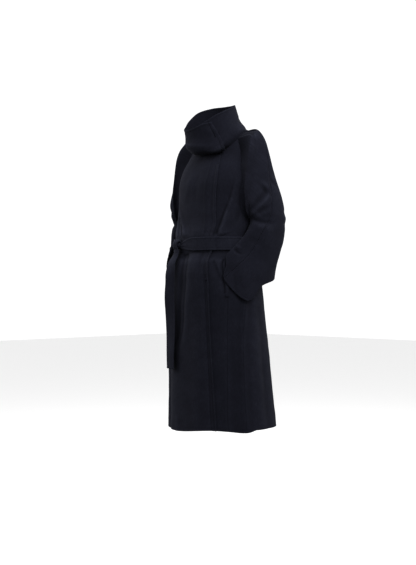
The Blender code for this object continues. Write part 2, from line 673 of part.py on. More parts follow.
def main():
    for item in list(bpy.data.objects):
        bpy.data.objects.remove(item, do_unlink=True)
    collection = bpy.data.collections.new(OBJECT_NAME)
    bpy.context.scene.collection.children.link(collection)
    wool = cloth_material("wool_double_faced", (0.010, 0.011, 0.014), 0.95)

    left_front = front_patch()
    right_front = right_front_patch()
    back = back_patch()
    sleeve_front, sleeve_back = sleeve_patches()

    # The collar shares every point of the neck seam, in the order it wraps.
    fronts = front_columns(-80, float(FRONT_ARMHOLE[-1][0]))
    front_end = float(FRONT_ARMHOLE[-1][0])
    back_end = float(BACK_ARMHOLE[-1][0])
    shoulder = 0.5 * (front_end + back_end)
    left_neck = np.concatenate([
        np.linspace(front_end, shoulder, NECK_STEPS + 1)[1:],
        np.linspace(shoulder, back_end, NECK_STEPS + 1)[1:],
    ])
    back_neck = np.linspace(back_end, 360 - back_end, BACK_STEPS + 1)[1:]
    right_neck = 360 - left_neck[::-1]
    right_neck = np.append(right_neck, 360 - front_end)[1:]
    right_top = 360 - fronts[::-1][1:]
    collar_angles = np.concatenate([fronts, left_neck, back_neck, right_neck, right_top])
    collar = collar_patch(collar_angles)

    shared = [
        left_front, right_front, back, sleeve_front, sleeve_back,
        mirrored(sleeve_front), mirrored(sleeve_back), collar,
    ]
    means = merged_normals(shared)

    def solid(name, patch, levels=None):
        offsets = patch_offsets(patch, means)
        raised = patch if levels is None else patch + offsets * (LAYER * levels)[..., None]
        split = "SHORT_EDGE" if "sleeve" in name else "FIXED"
        sheet_solid(name, pulled_in(raised, SEAM_PULL), offsets, CLOTH, wool, collection, split)
        return offsets

    columns = np.concatenate([
        np.zeros(FRONT_STEPS - 3), [0.0, 0.35, 0.75], np.ones(WRAP_STEPS + 1),
    ])
    right_levels = np.tile(columns, (right_front.shape[0], 1))
    left_offsets = solid("left_front", left_front)
    right_offsets = solid("right_front", right_front, right_levels)
    back_offsets = solid("back", back)
    solid("left_sleeve_front", sleeve_front)
    solid("left_sleeve_back", sleeve_back)
    solid("right_sleeve_front", mirrored(sleeve_front))
    solid("right_sleeve_back", mirrored(sleeve_back))
    collar_levels = np.zeros(len(collar_angles))
    collar_levels[-len(columns):] = columns
    collar_levels = np.tile(collar_levels, (collar.shape[0], 1))
    collar_levels[1:] *= COLLAR_LIFT / LAYER
    solid("collar", collar, collar_levels)

    # Waist points that the belt follows, one angle each.
    waist = SKIRT_ROWS.index(-407)
    left_row = front_columns(-407, float(curve(SIDE_SEAM, -407)))
    side = float(curve(SIDE_SEAM, -407))
    back_row = np.linspace(side, 360 - side, BACK_STEPS + 1)
    angles = list(left_row) + list(back_row[1:]) + list(360 - left_row[::-1][1:])
    normals = list(left_offsets[waist]) + list(back_offsets[waist][1:]) + list(right_offsets[waist][1:])
    levels = [1.0] * (WRAP_STEPS + 1) + [0.0] * (FRONT_STEPS + BACK_STEPS) + list(columns[1:])
    belt_band(angles, normals, levels, wool, collection)
    belt_knot(wool, collection)
    belt_tail("belt_tail_front", FRONT_TAIL, wool, collection)
    belt_tail("belt_tail_rear", REAR_TAIL, wool, collection)
    pocket_welt("pocket_welt_left", 1, wool, collection)
    pocket_welt("pocket_welt_right", -1, wool, collection)


main()
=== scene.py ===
# Belted wrap coat in blue-black double-faced wool, hollow and in its worn shape.
# Sizes are millimetres until a mesh is made. +Z is up, the front faces -Y, +X is the wearer's left.
import math

import bmesh
import bpy
import numpy as np
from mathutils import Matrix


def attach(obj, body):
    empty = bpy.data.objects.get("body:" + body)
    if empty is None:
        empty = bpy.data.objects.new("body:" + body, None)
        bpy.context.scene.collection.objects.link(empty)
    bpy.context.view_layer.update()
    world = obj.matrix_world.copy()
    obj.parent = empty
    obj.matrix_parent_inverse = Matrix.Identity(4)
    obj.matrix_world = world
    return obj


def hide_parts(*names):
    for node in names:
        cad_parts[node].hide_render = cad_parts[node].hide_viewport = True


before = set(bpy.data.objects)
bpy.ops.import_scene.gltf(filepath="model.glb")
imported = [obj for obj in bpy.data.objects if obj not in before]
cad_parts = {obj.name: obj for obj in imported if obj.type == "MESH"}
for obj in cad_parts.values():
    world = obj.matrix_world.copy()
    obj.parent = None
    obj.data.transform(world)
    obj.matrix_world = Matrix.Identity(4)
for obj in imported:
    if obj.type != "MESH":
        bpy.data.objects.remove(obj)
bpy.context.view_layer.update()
print("frame loaded:", len(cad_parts), "nodes")

# small tools


def linearColour(hexCode):
    # sRGB hex to the linear values that sockets take
    parts = [int(hexCode[i:i + 2], 16) / 255 for i in (1, 3, 5)]
    return [c / 12.92 if c <= 0.04045 else ((c + 0.055) / 1.055) ** 2.4 for c in parts] + [1.0]


def addNode(tree, kind, settings=None, links=None):
    # one node with its settings (properties, or sockets by name or number) and its links:
    # socket to another node, whose first output is taken, or to one of its outputs
    node = tree.nodes.new(kind)
    for key, value in (settings or {}).items():
        if isinstance(key, str) and hasattr(node, key):
            setattr(node, key, value)
        else:
            node.inputs[key].default_value = value
    for key, source in (links or {}).items():
        tree.links.new(source.outputs[0] if hasattr(source, "outputs") else source, node.inputs[key])
    return node


def curve(table, place, column=1):
    # smooth curve through one column of a table whose first column is the place along it
    rows = np.array(table, float)
    return curveRows(rows[:, 0], rows[:, column], place)


def curveRows(keys, values, place):
    # same curve for values of any shape, one set per key; no overshoot past a peak or a flat
    keys = np.asarray(keys, float)
    values = np.asarray(values, float)
    slopes = np.gradient(values, keys, axis=0)
    rises = np.diff(values, axis=0)
    slopes[1:-1] = np.where(rises[1:] * rises[:-1] <= 1e-9, 0.0, slopes[1:-1])
    place = np.clip(np.asarray(place, float), keys[0], keys[-1])
    low = np.clip(np.searchsorted(keys, place) - 1, 0, len(keys) - 2)
    span = keys[low + 1] - keys[low]
    t = (place - keys[low]) / span
    extra = (1,) * (values.ndim - 1)
    t = np.reshape(t, np.shape(t) + extra)
    span = np.reshape(span, np.shape(span) + extra)
    start = values[low] * (2 * t**3 - 3 * t**2 + 1) + slopes[low] * span * (t**3 - 2 * t**2 + t)
    end = values[low + 1] * (3 * t**2 - 2 * t**3) + slopes[low + 1] * span * (t**3 - t**2)
    return start + end


def ease(value):
    value = np.clip(value, 0.0, 1.0)
    return value * value * (3 - 2 * value)


def turned(angle):
    return (np.asarray(angle, float) + 180.0) % 360.0 - 180.0


def unit(vectors):
    return vectors / np.maximum(np.linalg.norm(vectors, axis=-1, keepdims=True), 1e-9)


freeEdge = [0, 0.5, 1.2, 2.3, 3.8, 5.4, 6.8, 7.8, 8.8, 10.4, 13]   # rows close to a finished edge
seamEdge = [0, 0.5, 1.2, 2.3, 4.2, 7]                              # rows close to a seam


def shares(length, step, start=None, end=None):
    # places from 0 to 1 along a length in mm, close together near its finished ends
    marks = [0.0, length]
    low = start[-1] if start else 0
    high = length - (end[-1] if end else 0)
    marks += list(start or []) + [length - value for value in (end or [])]
    marks += list(np.linspace(low, high, max(2, round((high - low) / step) + 1)))
    marks.sort()
    kept = [marks[0]]
    for mark in marks[1:]:
        if mark - kept[-1] > 0.35:
            kept.append(mark)
    kept[-1] = length
    return np.array(kept) / length


# camera, light and floor

cameraSpot = {
    "turn": 45.0,        # degrees round from the front towards the wearer's left
    "distance": 3900,
    "across": -47,
    "height": -541,
    "lens": 36 * 1083.3 / 565,
}


def placeCamera():
    turn = math.radians(cameraSpot["turn"])
    right = np.array([math.cos(turn), math.sin(turn), 0])
    ahead = np.array([-math.sin(turn), math.cos(turn), 0])
    place = (right * cameraSpot["across"] - ahead * cameraSpot["distance"]) / 1000
    camera = bpy.data.cameras.new("camera")
    camera.lens = cameraSpot["lens"]
    camera.sensor_width = 36
    camera.clip_end = 50
    spot = bpy.data.objects.new("camera", camera)
    spot.location = (place[0], place[1], cameraSpot["height"] / 1000)
    spot.rotation_euler = (math.radians(90), 0, turn)
    bpy.context.collection.objects.link(spot)
    bpy.context.scene.camera = spot
    return right, ahead


softLights = {
    "middle": (0, 0, -0.5),        # metres
    # name, across, ahead, height in metres from the coat's middle, size, watts
    "areas": [
        ("key", 1.3, -2.1, 2.2, 1.8, 82),
        ("fill_left", -2.6, 0.6, 1.0, 1.6, 46),
        ("rim_right", 2.7, 1.2, 1.0, 1.6, 26),
    ],
    "backdrop": 1.06,   # just over white, so that it is clean
    "sky": 0.92,
    "horizon": (-0.18, -0.02),     # slope of the view where the dark ends, and where the full sky starts
    "ground": 0.10,     # little light comes back up from below
    "gamma": 0.8,       # under 1 so that the dark cloth keeps its contrast before the white
}


def aimed(place, aim):
    # rotation that points a lamp from one place to another
    step = np.array(aim) - np.array(place)
    flat = math.hypot(step[0], step[1])
    return math.atan2(flat, -step[2]), 0, math.atan2(-step[0], step[1])


def placeLights(right, ahead):
    middle = np.array(softLights["middle"])
    for name, across, deep, high, size, watts in softLights["areas"]:
        light = bpy.data.lights.new(name, "AREA")
        light.size = size
        light.energy = watts
        spot = bpy.data.objects.new(name, light)
        spot.location = middle + right * across + ahead * deep + np.array([0, 0, high])
        spot.rotation_euler = aimed(spot.location, middle)
        bpy.context.collection.objects.link(spot)
    # bright sky down to just below the horizon, then dark; the camera sees it white all round
    world = bpy.data.worlds.new("studio")
    world.use_nodes = True
    tree = world.node_tree
    direction = addNode(tree, "ShaderNodeTexCoord")
    parts = addNode(tree, "ShaderNodeSeparateXYZ", {}, {0: direction.outputs["Generated"]})
    low, high = softLights["horizon"]
    level = addNode(tree, "ShaderNodeMapRange",
                    {"From Min": low, "From Max": high,
                     "To Min": softLights["ground"], "To Max": softLights["sky"]},
                    {"Value": parts.outputs["Z"]})
    ray = addNode(tree, "ShaderNodeLightPath")
    seen = addNode(tree, "ShaderNodeMix", {"data_type": "FLOAT", 3: softLights["backdrop"]},
                   {0: ray.outputs["Is Camera Ray"], 2: level})
    tree.links.new(seen.outputs[0], tree.nodes["Background"].inputs["Strength"])
    tree.nodes["Background"].inputs["Color"].default_value = (1, 1, 1, 1)
    bpy.context.scene.world = world
    bpy.context.scene.view_settings.view_transform = "Standard"
    bpy.context.scene.view_settings.gamma = softLights["gamma"]


floorSpot = {"height": -1480, "size": 24000}


def layFloor():
    mesh = bpy.data.meshes.new("studio_floor")
    bm = bmesh.new()
    bmesh.ops.create_grid(bm, x_segments=8, y_segments=8, size=floorSpot["size"] / 2000)
    for vert in bm.verts:
        vert.co.z = floorSpot["height"] / 1000
    bm.to_mesh(mesh)
    bm.free()
    paper = bpy.data.materials.new("studio_paper_white")  # matt seamless paper, near white
    paper.use_nodes = True
    tree = paper.node_tree
    shader = tree.nodes["Principled BSDF"]
    shader.inputs["Base Color"].default_value = linearColour("#fbfbfb")
    shader.inputs["Roughness"].default_value = 0.95
    place = addNode(tree, "ShaderNodeTexCoord")
    grain = addNode(tree, "ShaderNodeTexNoise", {"Scale": 420.0, "Detail": 3.0},
                    {"Vector": place.outputs["Object"]})
    bump = addNode(tree, "ShaderNodeBump", {"Strength": 0.04, "Distance": 0.001}, {"Height": grain})
    tree.links.new(bump.outputs[0], shader.inputs["Normal"])
    mesh.materials.append(paper)
    floor = bpy.data.objects.new("studio_floor", mesh)
    floor.visible_diffuse = False        # it sends no light up onto the coat
    floor.visible_glossy = False
    bpy.context.collection.objects.link(floor)


cameraRight, cameraAhead = placeCamera()
placeLights(cameraRight, cameraAhead)
layFloor()
print("camera, lights and floor placed")

# materials

wool = {
    "colour": "#22232d", "lint": "#32343f", "deep": "#1a1b23", "thread": "#1b1c24",
    "fibre": 1.1,      # mm, fibre clumps of the brushed nap; real ones near 0.3 mm are too fine to show
    "nap": 6.0,        # mm, soft clouds where the nap lies differently
    "cloud": 55.0,     # mm, slow change of tone from wear and pressing
    "stitch": 4.0,     # mm, length of one stitch with its gap
    "groove": 0.9,     # mm, half width of the groove that a row of stitches pulls in
    "roughness": 0.9,
}


def makeWool():
    # double-faced melton, fulled and brushed: the weave is hidden under a short nap that takes a soft
    # bright rim at grazing angles and gives almost no gloss
    material = bpy.data.materials.new("wool_double_faced")
    material.use_nodes = True
    tree = material.node_tree
    shader = tree.nodes["Principled BSDF"]
    shader.inputs["Roughness"].default_value = wool["roughness"]
    shader.inputs["Specular IOR Level"].default_value = 0.10
    shader.inputs["Sheen Weight"].default_value = 0.06
    shader.inputs["Sheen Roughness"].default_value = 0.4
    shader.inputs["Sheen Tint"].default_value = linearColour("#d4d7e6")

    place = addNode(tree, "ShaderNodeUVMap", {"uv_map": "cloth"})
    # the nap is brushed down the length of each piece, so its pattern is drawn out along it
    brushed = addNode(tree, "ShaderNodeMapping", {"Scale": (1000.0, 430.0, 1.0)}, {"Vector": place})
    fibre = addNode(tree, "ShaderNodeTexNoise",
                    {"Scale": 1 / wool["fibre"], "Detail": 3.0, "Roughness": 0.65}, {"Vector": brushed})
    nap = addNode(tree, "ShaderNodeTexNoise", {"Scale": 1 / wool["nap"], "Detail": 4.0, "Roughness": 0.6},
                  {"Vector": brushed})
    spot = addNode(tree, "ShaderNodeTexCoord")
    cloud = addNode(tree, "ShaderNodeTexNoise", {"Scale": 1000 / wool["cloud"], "Detail": 2.0},
                    {"Vector": spot.outputs["Object"]})
    # tone follows the cloth's shape through the ridge value: darker in creases, which is painted shade, and
    # paler on ridges, which is rubbed nap and painted highlight
    ridge = addNode(tree, "ShaderNodeAttribute", {"attribute_name": "ridge"})
    tone = addNode(tree, "ShaderNodeMath", {"operation": "MULTIPLY", 1: 0.30}, {0: nap})
    tone = addNode(tree, "ShaderNodeMath", {"operation": "MULTIPLY_ADD", 1: 0.42}, {0: fibre, 2: tone})
    tone = addNode(tree, "ShaderNodeMath", {"operation": "MULTIPLY_ADD", 1: 0.20}, {0: cloud, 2: tone})
    tone = addNode(tree, "ShaderNodeMath", {"operation": "MULTIPLY_ADD", 1: 0.26},
                   {0: ridge.outputs["Fac"], 2: tone})
    # rubbed and lit edges: paler within 3 mm of a finished edge, in patches, partly rubbed wear and partly
    # painted highlight where the edges catch the light
    edge = addNode(tree, "ShaderNodeAttribute", {"attribute_name": "edge"})
    rubbedAndLitEdges = addNode(tree, "ShaderNodeMapRange",
                     {"From Min": 0.0, "From Max": 3.0, "To Min": 0.2, "To Max": 0.0},
                     {"Value": edge.outputs["Fac"]})
    tone = addNode(tree, "ShaderNodeMath", {"operation": "MULTIPLY_ADD"}, {0: rubbedAndLitEdges, 1: nap, 2: tone})
    ramp = addNode(tree, "ShaderNodeValToRGB", {}, {0: tone})
    stops = ramp.color_ramp.elements
    stops[0].position = 0.26
    stops[0].color = linearColour(wool["deep"])
    stops[1].position = 0.80
    stops[1].color = linearColour(wool["lint"])
    middle = stops.new(0.48)
    middle.color = linearColour(wool["colour"])

    # rows of stitches: one attribute holds the distance to the nearest row, one the place along it
    row = addNode(tree, "ShaderNodeAttribute", {"attribute_name": "stitchGap"})
    run = addNode(tree, "ShaderNodeAttribute", {"attribute_name": "stitchRun"})
    gap = addNode(tree, "ShaderNodeMath", {"operation": "ABSOLUTE"}, {0: row.outputs["Fac"]})
    groove = addNode(tree, "ShaderNodeMapRange",
                     {"interpolation_type": "SMOOTHSTEP", "From Min": 0.0, "From Max": wool["groove"],
                      "To Min": 1.0, "To Max": 0.0}, {"Value": gap})
    dash = addNode(tree, "ShaderNodeMath", {"operation": "PINGPONG", 1: wool["stitch"] / 2},
                   {0: run.outputs["Fac"]})
    dash = addNode(tree, "ShaderNodeMath", {"operation": "GREATER_THAN", 1: 0.32}, {0: dash})
    thread = addNode(tree, "ShaderNodeMath", {"operation": "MULTIPLY"}, {0: groove, 1: dash})
    colour = addNode(tree, "ShaderNodeMix", {"data_type": "RGBA", 7: linearColour(wool["thread"])},
                     {0: thread, 6: ramp})
    tree.links.new(colour.outputs[2], shader.inputs["Base Color"])

    height = addNode(tree, "ShaderNodeMath", {"operation": "MULTIPLY_ADD", 1: 0.8}, {0: nap, 2: fibre})
    height = addNode(tree, "ShaderNodeMath", {"operation": "MULTIPLY_ADD", 1: -1.2}, {0: groove, 2: height})
    height = addNode(tree, "ShaderNodeMath", {"operation": "MULTIPLY_ADD", 1: 0.7}, {0: thread, 2: height})
    bump = addNode(tree, "ShaderNodeBump", {"Strength": 0.5, "Distance": 0.0005}, {"Height": height})
    tree.links.new(bump.outputs[0], shader.inputs["Normal"])
    return material


woolMaterial = makeWool()
print("materials made")

# cloth sheets

cloth = {
    "thickness": 2.4,
    "layer": 3.0,        # from one layer of the coat to the next
    "step": 3.5,         # between the points of a grid
    "backStep": 4.7,     # the same across the back
    "far": 50.0,         # stands for no edge and no stitches near
    "lumps": (150.0, 105.0, 80.0, 58.0, 42.0),     # lengths of the waves in cloth that hangs freely
}

# half-wall share by distance from a border: rounded edge, plump turned-in edge, groove, plain cloth
freeProfile = ([0, 0.5, 1.2, 2.3, 5.4, 6.8, 7.8, 8.8, 11],
               [0.35, 0.8, 1.05, 1.2, 1.2, 1.05, 0.72, 0.95, 1.0])
seamProfile = ([0, 0.5, 1.2, 2.3, 4.2], [0.15, 0.5, 0.85, 1.04, 1.0])
softProfile = ([0, 0.5, 1.2], [0.4, 0.85, 1.0])
beltEdge = ([0, 0.6, 1.6, 4.6, 6.2, 7.2, 9], [0.3, 0.8, 1.1, 1.12, 0.9, 0.8, 1.0])


def borderDistances(grid):
    # distance in mm from each border, measured along the cloth: bottom, top, first column, last column
    down = np.linalg.norm(np.diff(grid, axis=0), axis=-1)
    side = np.linalg.norm(np.diff(grid, axis=1), axis=-1)
    rows = np.concatenate([np.zeros((1, grid.shape[1])), np.cumsum(down, axis=0)])
    columns = np.concatenate([np.zeros((grid.shape[0], 1)), np.cumsum(side, axis=1)], axis=1)
    return rows, rows[-1:] - rows, columns, columns[:, -1:] - columns


def ridges(grid, offsets):
    # how far each point stands above its neighbours: over 0 on ridges, under 0 in creases
    wide = np.pad(grid, ((3, 3), (3, 3), (0, 0)), mode="edge")
    mean = (wide[6:, 3:-3] + wide[:-6, 3:-3] + wide[3:-3, 6:] + wide[3:-3, :-6]) / 4
    lift = np.sum((grid - mean) * offsets, axis=-1)
    lift[:3] = lift[-3:] = 0
    lift[:, :3] = lift[:, -3:] = 0
    return np.clip(lift / 3, -1, 1)


def makeSheet(name, points, offsets, thickness, borders, stitches, brushed=0.0):
    # a sheet of cloth: a grid laid on its inner face, extruded whole and moved to its outer face; brushed
    # raises the tone of the whole sheet, painted light that makes it a paler, lit copy of the same wool
    down, across = points.shape[:2]
    distances = borderDistances(points)
    share = np.ones((down, across))
    edge = np.full((down, across), cloth["far"])
    for distance, profile in zip(distances, borders):
        share = share * np.interp(distance, *profile)
        if profile in (freeProfile, beltEdge):
            edge = np.minimum(edge, distance)
    bm = bmesh.new()
    bmesh.ops.create_grid(bm, x_segments=across - 1, y_segments=down - 1, size=1)
    bmesh.ops.extrude_face_region(bm, geom=bm.verts[:] + bm.edges[:] + bm.faces[:], use_keep_orig=True)
    flat = points.reshape(-1, 3)
    lift = (offsets * (share * thickness / 2)[..., None]).reshape(-1, 3)
    both = np.concatenate([flat - lift, flat + lift]) / 1000
    for vert, place in zip(bm.verts, both):
        vert.co = place
    bmesh.ops.recalc_face_normals(bm, faces=bm.faces[:])
    mesh = bpy.data.meshes.new(name)
    bm.to_mesh(mesh)
    bm.free()
    gap, run = stitches
    # the ridge value, which the wool turns into painted shade and highlight, also carries brushed, a
    # painted-light lift of the whole sheet's tone
    values = {"ridge": ridges(points, offsets) + brushed, "edge": edge, "stitchGap": gap, "stitchRun": run}
    finishMesh(mesh, np.stack([distances[2], distances[0]], axis=-1).reshape(-1, 2) / 1000, values)
    return addPiece(name, mesh)


def finishMesh(mesh, uv, values):
    # smooth faces, the cloth's own UV map in metres and the values that the wool reads
    mesh.polygons.foreach_set("use_smooth", np.ones(len(mesh.polygons), bool))
    corners = np.zeros(len(mesh.loops), int)
    mesh.loops.foreach_get("vertex_index", corners)
    layer = mesh.uv_layers.new(name="cloth")
    layer.data.foreach_set("uv", uv[corners % len(uv)].astype(np.float32).ravel())
    for name, value in values.items():
        attribute = mesh.attributes.new(name, "FLOAT", "POINT")
        both = np.resize(np.asarray(value, float).reshape(-1), len(mesh.vertices))
        attribute.data.foreach_set("value", both.astype(np.float32))
    mesh.update()


def addPiece(name, mesh, material=None):
    mesh.materials.append(material or woolMaterial)
    piece = bpy.data.objects.new(name, mesh)
    bpy.context.collection.objects.link(piece)
    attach(piece, "root")
    return piece


def halfArea(mesh):
    # area of one face of a sheet, in square metres
    areas = np.zeros(len(mesh.polygons))
    mesh.polygons.foreach_get("area", areas)
    return float(areas.sum()) / 2


# the body surface

body = {
    "armpit": -322.0,
    "yoke": -180.0,          # top of the rings below
    "slope": -205.0,         # where the shoulders start to close in on the neck
    "closing": 1.85,         # power of that curve
    "hemStart": -590.0,      # the hem's uneven line fades in below this height
    "lowest": -1066.0,
    "beltHeight": -407.0,
    "beltFlat": (24, 17),    # no folds this near the belt's middle, then how far they take to come in
    "degree": 2.97,          # mm round the body in one degree
    "neckRing": (0, 97, 80),
    # height, middle of the depth, half width, half depth
    "rings": [
        (-1066, 3, 210, 165), (-930, -6, 201, 157), (-820, -13, 195, 152), (-677, -23, 187.5, 145.5),
        (-590, -29, 185.5, 144), (-541, -31, 183, 142), (-500, -36, 177, 138), (-470, -38, 169, 131),
        (-445, -33, 159.5, 121.5), (-436, -31, 158, 120), (-378, -31, 158, 120), (-368, -27, 160, 122),
        (-338, -9, 169, 129), (-290, -1, 171.5, 131.5), (-212, 2, 170.3, 132.2), (-180, 2, 170, 132),
    ],
    # neck seam: angle from the front, height
    "neck": [(0, -92), (30, -84), (52, -68), (70, -45), (80, -33), (90, -20), (105, -4), (130, 8), (180, 15)],
    # right front edge: height, angle
    "wrap": [
        (-1062, 32.6), (-943, 31.7), (-690, 30.3), (-529, 30.3), (-450, 32), (-436, 33), (-378, 34),
        (-340, 32.5), (-293, 30.4), (-236, 30.4), (-182, 32.3), (-104, 37), (-70, 40),
    ],
    # side seam: height, angle
    "side": [
        (-1066, 64.5), (-934, 65), (-860, 65.8), (-787, 66.8), (-713, 68.9),
        (-649, 72.7), (-600, 76), (-450, 80), (-380, 82), (-322, 84),
    ],
    # placket stitches on the right front: height, angle
    "stitches": [
        (-1062, 26.5), (-850, 25.8), (-700, 25.4), (-600, 25), (-532, 24), (-491, 24.3), (-440, 22.5),
        (-382, 21.5), (-323, 17.8), (-264, 16.2), (-215, 16.3), (-186, 17.7), (-162, 19.5), (-128, 21.6),
        (-88, 22),
    ],
    # panel seam below the pocket: height, share of the way from the front edge to the side seam
    "panelSeam": [
        (-1066, 0.365), (-1041, 0.373), (-886, 0.436), (-737, 0.488), (-555, 0.476), (-400, 0.47),
    ],
    "panelSeamTop": -560.0,
    # hem: angle, height
    "hem": [
        (-180, -1050), (-110, -1052), (-78, -1060), (-51, -1066), (-11, -1064), (28, -1052),
        (45, -1054), (60, -1058), (70, -1056), (78, -1050), (110, -1050), (180, -1050),
    ],
    # armhole seams from the armpit to the neck: angle, height
    "frontArmhole": [
        (84, -322), (75, -312), (66, -298), (62.5, -272), (62, -230), (65, -188), (67.5, -130), (74, -85),
        (80, -33),
    ],
    "backArmhole": [
        (84, -322), (98, -311), (110, -296), (117, -270), (119, -228), (118, -186), (116, -130), (116, -75),
        (120, 3),
    ],
    # kind, lift, width (a tuck: near side, far side), shares that fade in and out, (angle, height) points
    "folds": [
        # wide folds of the skirt
        ("bell", 5.0, 13, 0.1, 0.0,
         [(77, -570), (72.7, -649), (68.9, -713), (66.3, -820), (64.6, -1070)]),
        ("bell", 5.0, 13, 0.1, 0.0,
         [(-77, -570), (-72.7, -649), (-68.9, -713), (-66.3, -820), (-64.6, -1070)]),
        ("bell", 5.0, 24, 0.5, 0.0, [(-52, -480), (-58, -1064)]),
        ("bell", -4.0, 24, 0.5, 0.0, [(-36, -620), (-40, -1064)]),
        ("bell", -3.0, 16, 0.5, 0.0, [(54, -600), (52, -1064)]),
        ("bell", 4.0, 30, 0.5, 0.0, [(16, -600), (12, -1064)]),
        ("bell", -5.0, 26, 0.5, 0.0, [(102, -470), (100, -1064)]),
        ("bell", 6.0, 28, 0.5, 0.0, [(124, -470), (126, -1064)]),
        ("bell", -5.0, 26, 0.5, 0.0, [(150, -470), (150, -1064)]),
        ("bell", 6.0, 30, 0.5, 0.0, [(176, -470), (178, -1064)]),
        ("bell", -5.0, 26, 0.5, 0.0, [(204, -470), (206, -1064)]),
        ("bell", 6.0, 28, 0.5, 0.0, [(232, -470), (232, -1064)]),
        ("bell", -5.0, 26, 0.5, 0.0, [(256, -470), (258, -1064)]),
        # chest, from the wrap's edge up to the raglan seam
        ("tuck", -8.0, (8, 24), 0.02, 0.5,
         [(38.5, -380), (36.8, -339), (39.5, -302), (43.5, -273), (46.8, -247), (49.5, -223),
          (52.3, -198), (57, -151)]),
        ("bell", 4.5, 26, 0.02, 0.5,
         [(47, -380), (43, -339), (46, -302), (50, -262), (54, -225), (58, -185)]),
        ("bell", -2.5, 12, 0.4, 0.3, [(66, -230), (60, -300), (57, -350)]),
        # pleats that the belt draws in on the other side
        ("bell", 3.5, 11, 0.45, 0.02,
         [(-37, -215), (-33.9, -281), (-27.7, -296), (-19.9, -333), (-9.6, -384)]),
        ("bell", 3.0, 8, 0.3, 0.02, [(-43, -300), (-36, -340), (-30, -384)]),
        ("bell", -3.0, 6, 0.3, 0.02, [(-33.5, -290), (-28.5, -340), (-24.5, -384)]),
        ("bell", 2.5, 6, 0.3, 0.02, [(-29.3, -317), (-25, -350), (-20, -384)]),
        ("bell", -2.8, 6, 0.3, 0.02, [(-24, -333), (-19, -360), (-14, -388)]),
        ("bell", -1.5, 7, 0.5, 0.02, [(-3.7, -342), (0, -380)]),
        ("bell", -1.6, 8, 0.5, 0.02, [(21, -340), (24, -382)]),
        ("bell", -3.0, 9, 0.5, 0.02, [(-52, -300), (-48, -345), (-44, -384)]),
        ("ridge", 3.0, 7, 0.5, 0.02, [(-60, -300), (-56, -345), (-53, -384)]),
        ("bell", 2.0, 14, 0.4, 0.4, [(-6, -150), (-12, -205), (-16, -262)]),
        ("bell", -1.8, 12, 0.4, 0.4, [(6, -140), (2, -210), (0, -290)]),
        # the cloth stands up a little along the placket stitches
        ("bell", 1.1, 4, 0.05, 0.05,
         [(21.5, -386), (17.8, -323), (16.2, -264), (16.3, -215), (17.7, -186), (19.5, -162),
          (21.6, -128), (22, -95)]),
        # below the belt: the deep fold beside the tails and the dome that it frames
        ("tuck", -7.0, (11, 28), 0.45, 0.03,
         [(-21.2, -819), (-9.3, -717), (-5.8, -641), (-1.5, -540), (0.3, -480), (-5.9, -432)]),
        ("bell", -4.5, 11, 0.03, 0.3,
         [(-11.5, -432), (-7, -480), (-8, -540), (-12.5, -641), (-16, -717), (-27, -819)]),
        ("bell", 3.0, 34, 0.03, 0.5, [(9, -436), (8, -532), (4, -640), (0, -720)]),
        ("bell", -3.0, 11, 0.03, 0.6, [(20.5, -434), (20, -470), (21.5, -520)]),
        ("bell", -2.6, 5, 0.05, 0.0, [(26.5, -450), (25.6, -640), (27, -1062)]),
        ("tuck", -3.0, (9, 14), 0.3, 0.15, [(47.5, -545), (44.2, -526), (39.7, -491), (35.8, -460)]),
        ("crease", -3.5, 3, 0.1, 0.1,
         [(52, -456), (48.2, -480), (48.0, -505), (48.4, -540), (48.8, -588)]),
        ("crease", -4.5, 3, 0.1, 0.1,
         [(-52, -456), (-48.2, -480), (-48.0, -505), (-48.4, -540), (-48.8, -588)]),
        ("bell", -3.0, 10, 0.05, 0.5, [(-27, -436), (-30, -500), (-33, -590)]),
        ("bell", 3.5, 12, 0.05, 0.5, [(-40, -436), (-42, -510), (-46, -600)]),
        ("bell", -2.5, 9, 0.1, 0.6, [(60, -436), (63, -480), (66, -540)]),
        ("bell", 2.0, 10, 0.4, 0.0, [(-18, -1000), (-16.4, -1062)]),
        ("bell", -2.0, 20, 0.4, 0.0, [(40, -760), (38.5, -1062)]),
        # back, from the shoulder blades to the armholes
        ("bell", -3.0, 13, 0.3, 0.5, [(117, -200), (132, -240), (146, -300)]),
        ("bell", -3.0, 13, 0.3, 0.5, [(243, -200), (228, -240), (214, -300)]),
        ("bell", 2.5, 14, 0.4, 0.4, [(124, -160), (140, -215), (160, -265)]),
        ("bell", 2.5, 14, 0.4, 0.4, [(236, -160), (220, -215), (200, -265)]),
    ],
    # pleats that the belt gathers at the back: kind, lift, width, angle at the belt,
    # angle and height at the far end
    "pleatsAbove": [
        ("crease", -3.5, 7, 106, 108, -300), ("ridge", 3.0, 7, 118, 119, -310),
        ("crease", -3.5, 8, 131, 134, -295), ("bell", 3.0, 9, 145, 147, -300),
        ("crease", -3.5, 7, 158, 157, -290), ("ridge", 3.0, 8, 173, 171, -310),
        ("crease", -3.5, 8, 188, 190, -298), ("bell", 3.0, 9, 204, 203, -305),
        ("crease", -3.5, 7, 218, 216, -300), ("ridge", 3.0, 7, 232, 232, -310),
        ("crease", -3.5, 8, 245, 248, -300),
    ],
    "pleatsBelow": [
        ("crease", -3.5, 8, 112, 111, -530), ("ridge", 3.0, 9, 125, 126, -540),
        ("crease", -3.5, 8, 140, 142, -545), ("crease", -3.5, 9, 168, 165, -540),
        ("ridge", 3.0, 9, 181, 181, -560), ("crease", -3.5, 8, 196, 199, -545),
        ("crease", -3.5, 8, 222, 220, -535), ("ridge", 3.0, 9, 236, 236, -540),
        ("crease", -3.0, 8, 249, 251, -520),
    ],
    "pleatEnds": (-384.0, -432.0),       # heights where they meet the belt
}
for kind, lift, width, angle, far, height in body["pleatsAbove"]:
    line = [(far, height), (angle, body["pleatEnds"][0])]
    body["folds"].append((kind, lift, width, 0.5, 0.02, line))
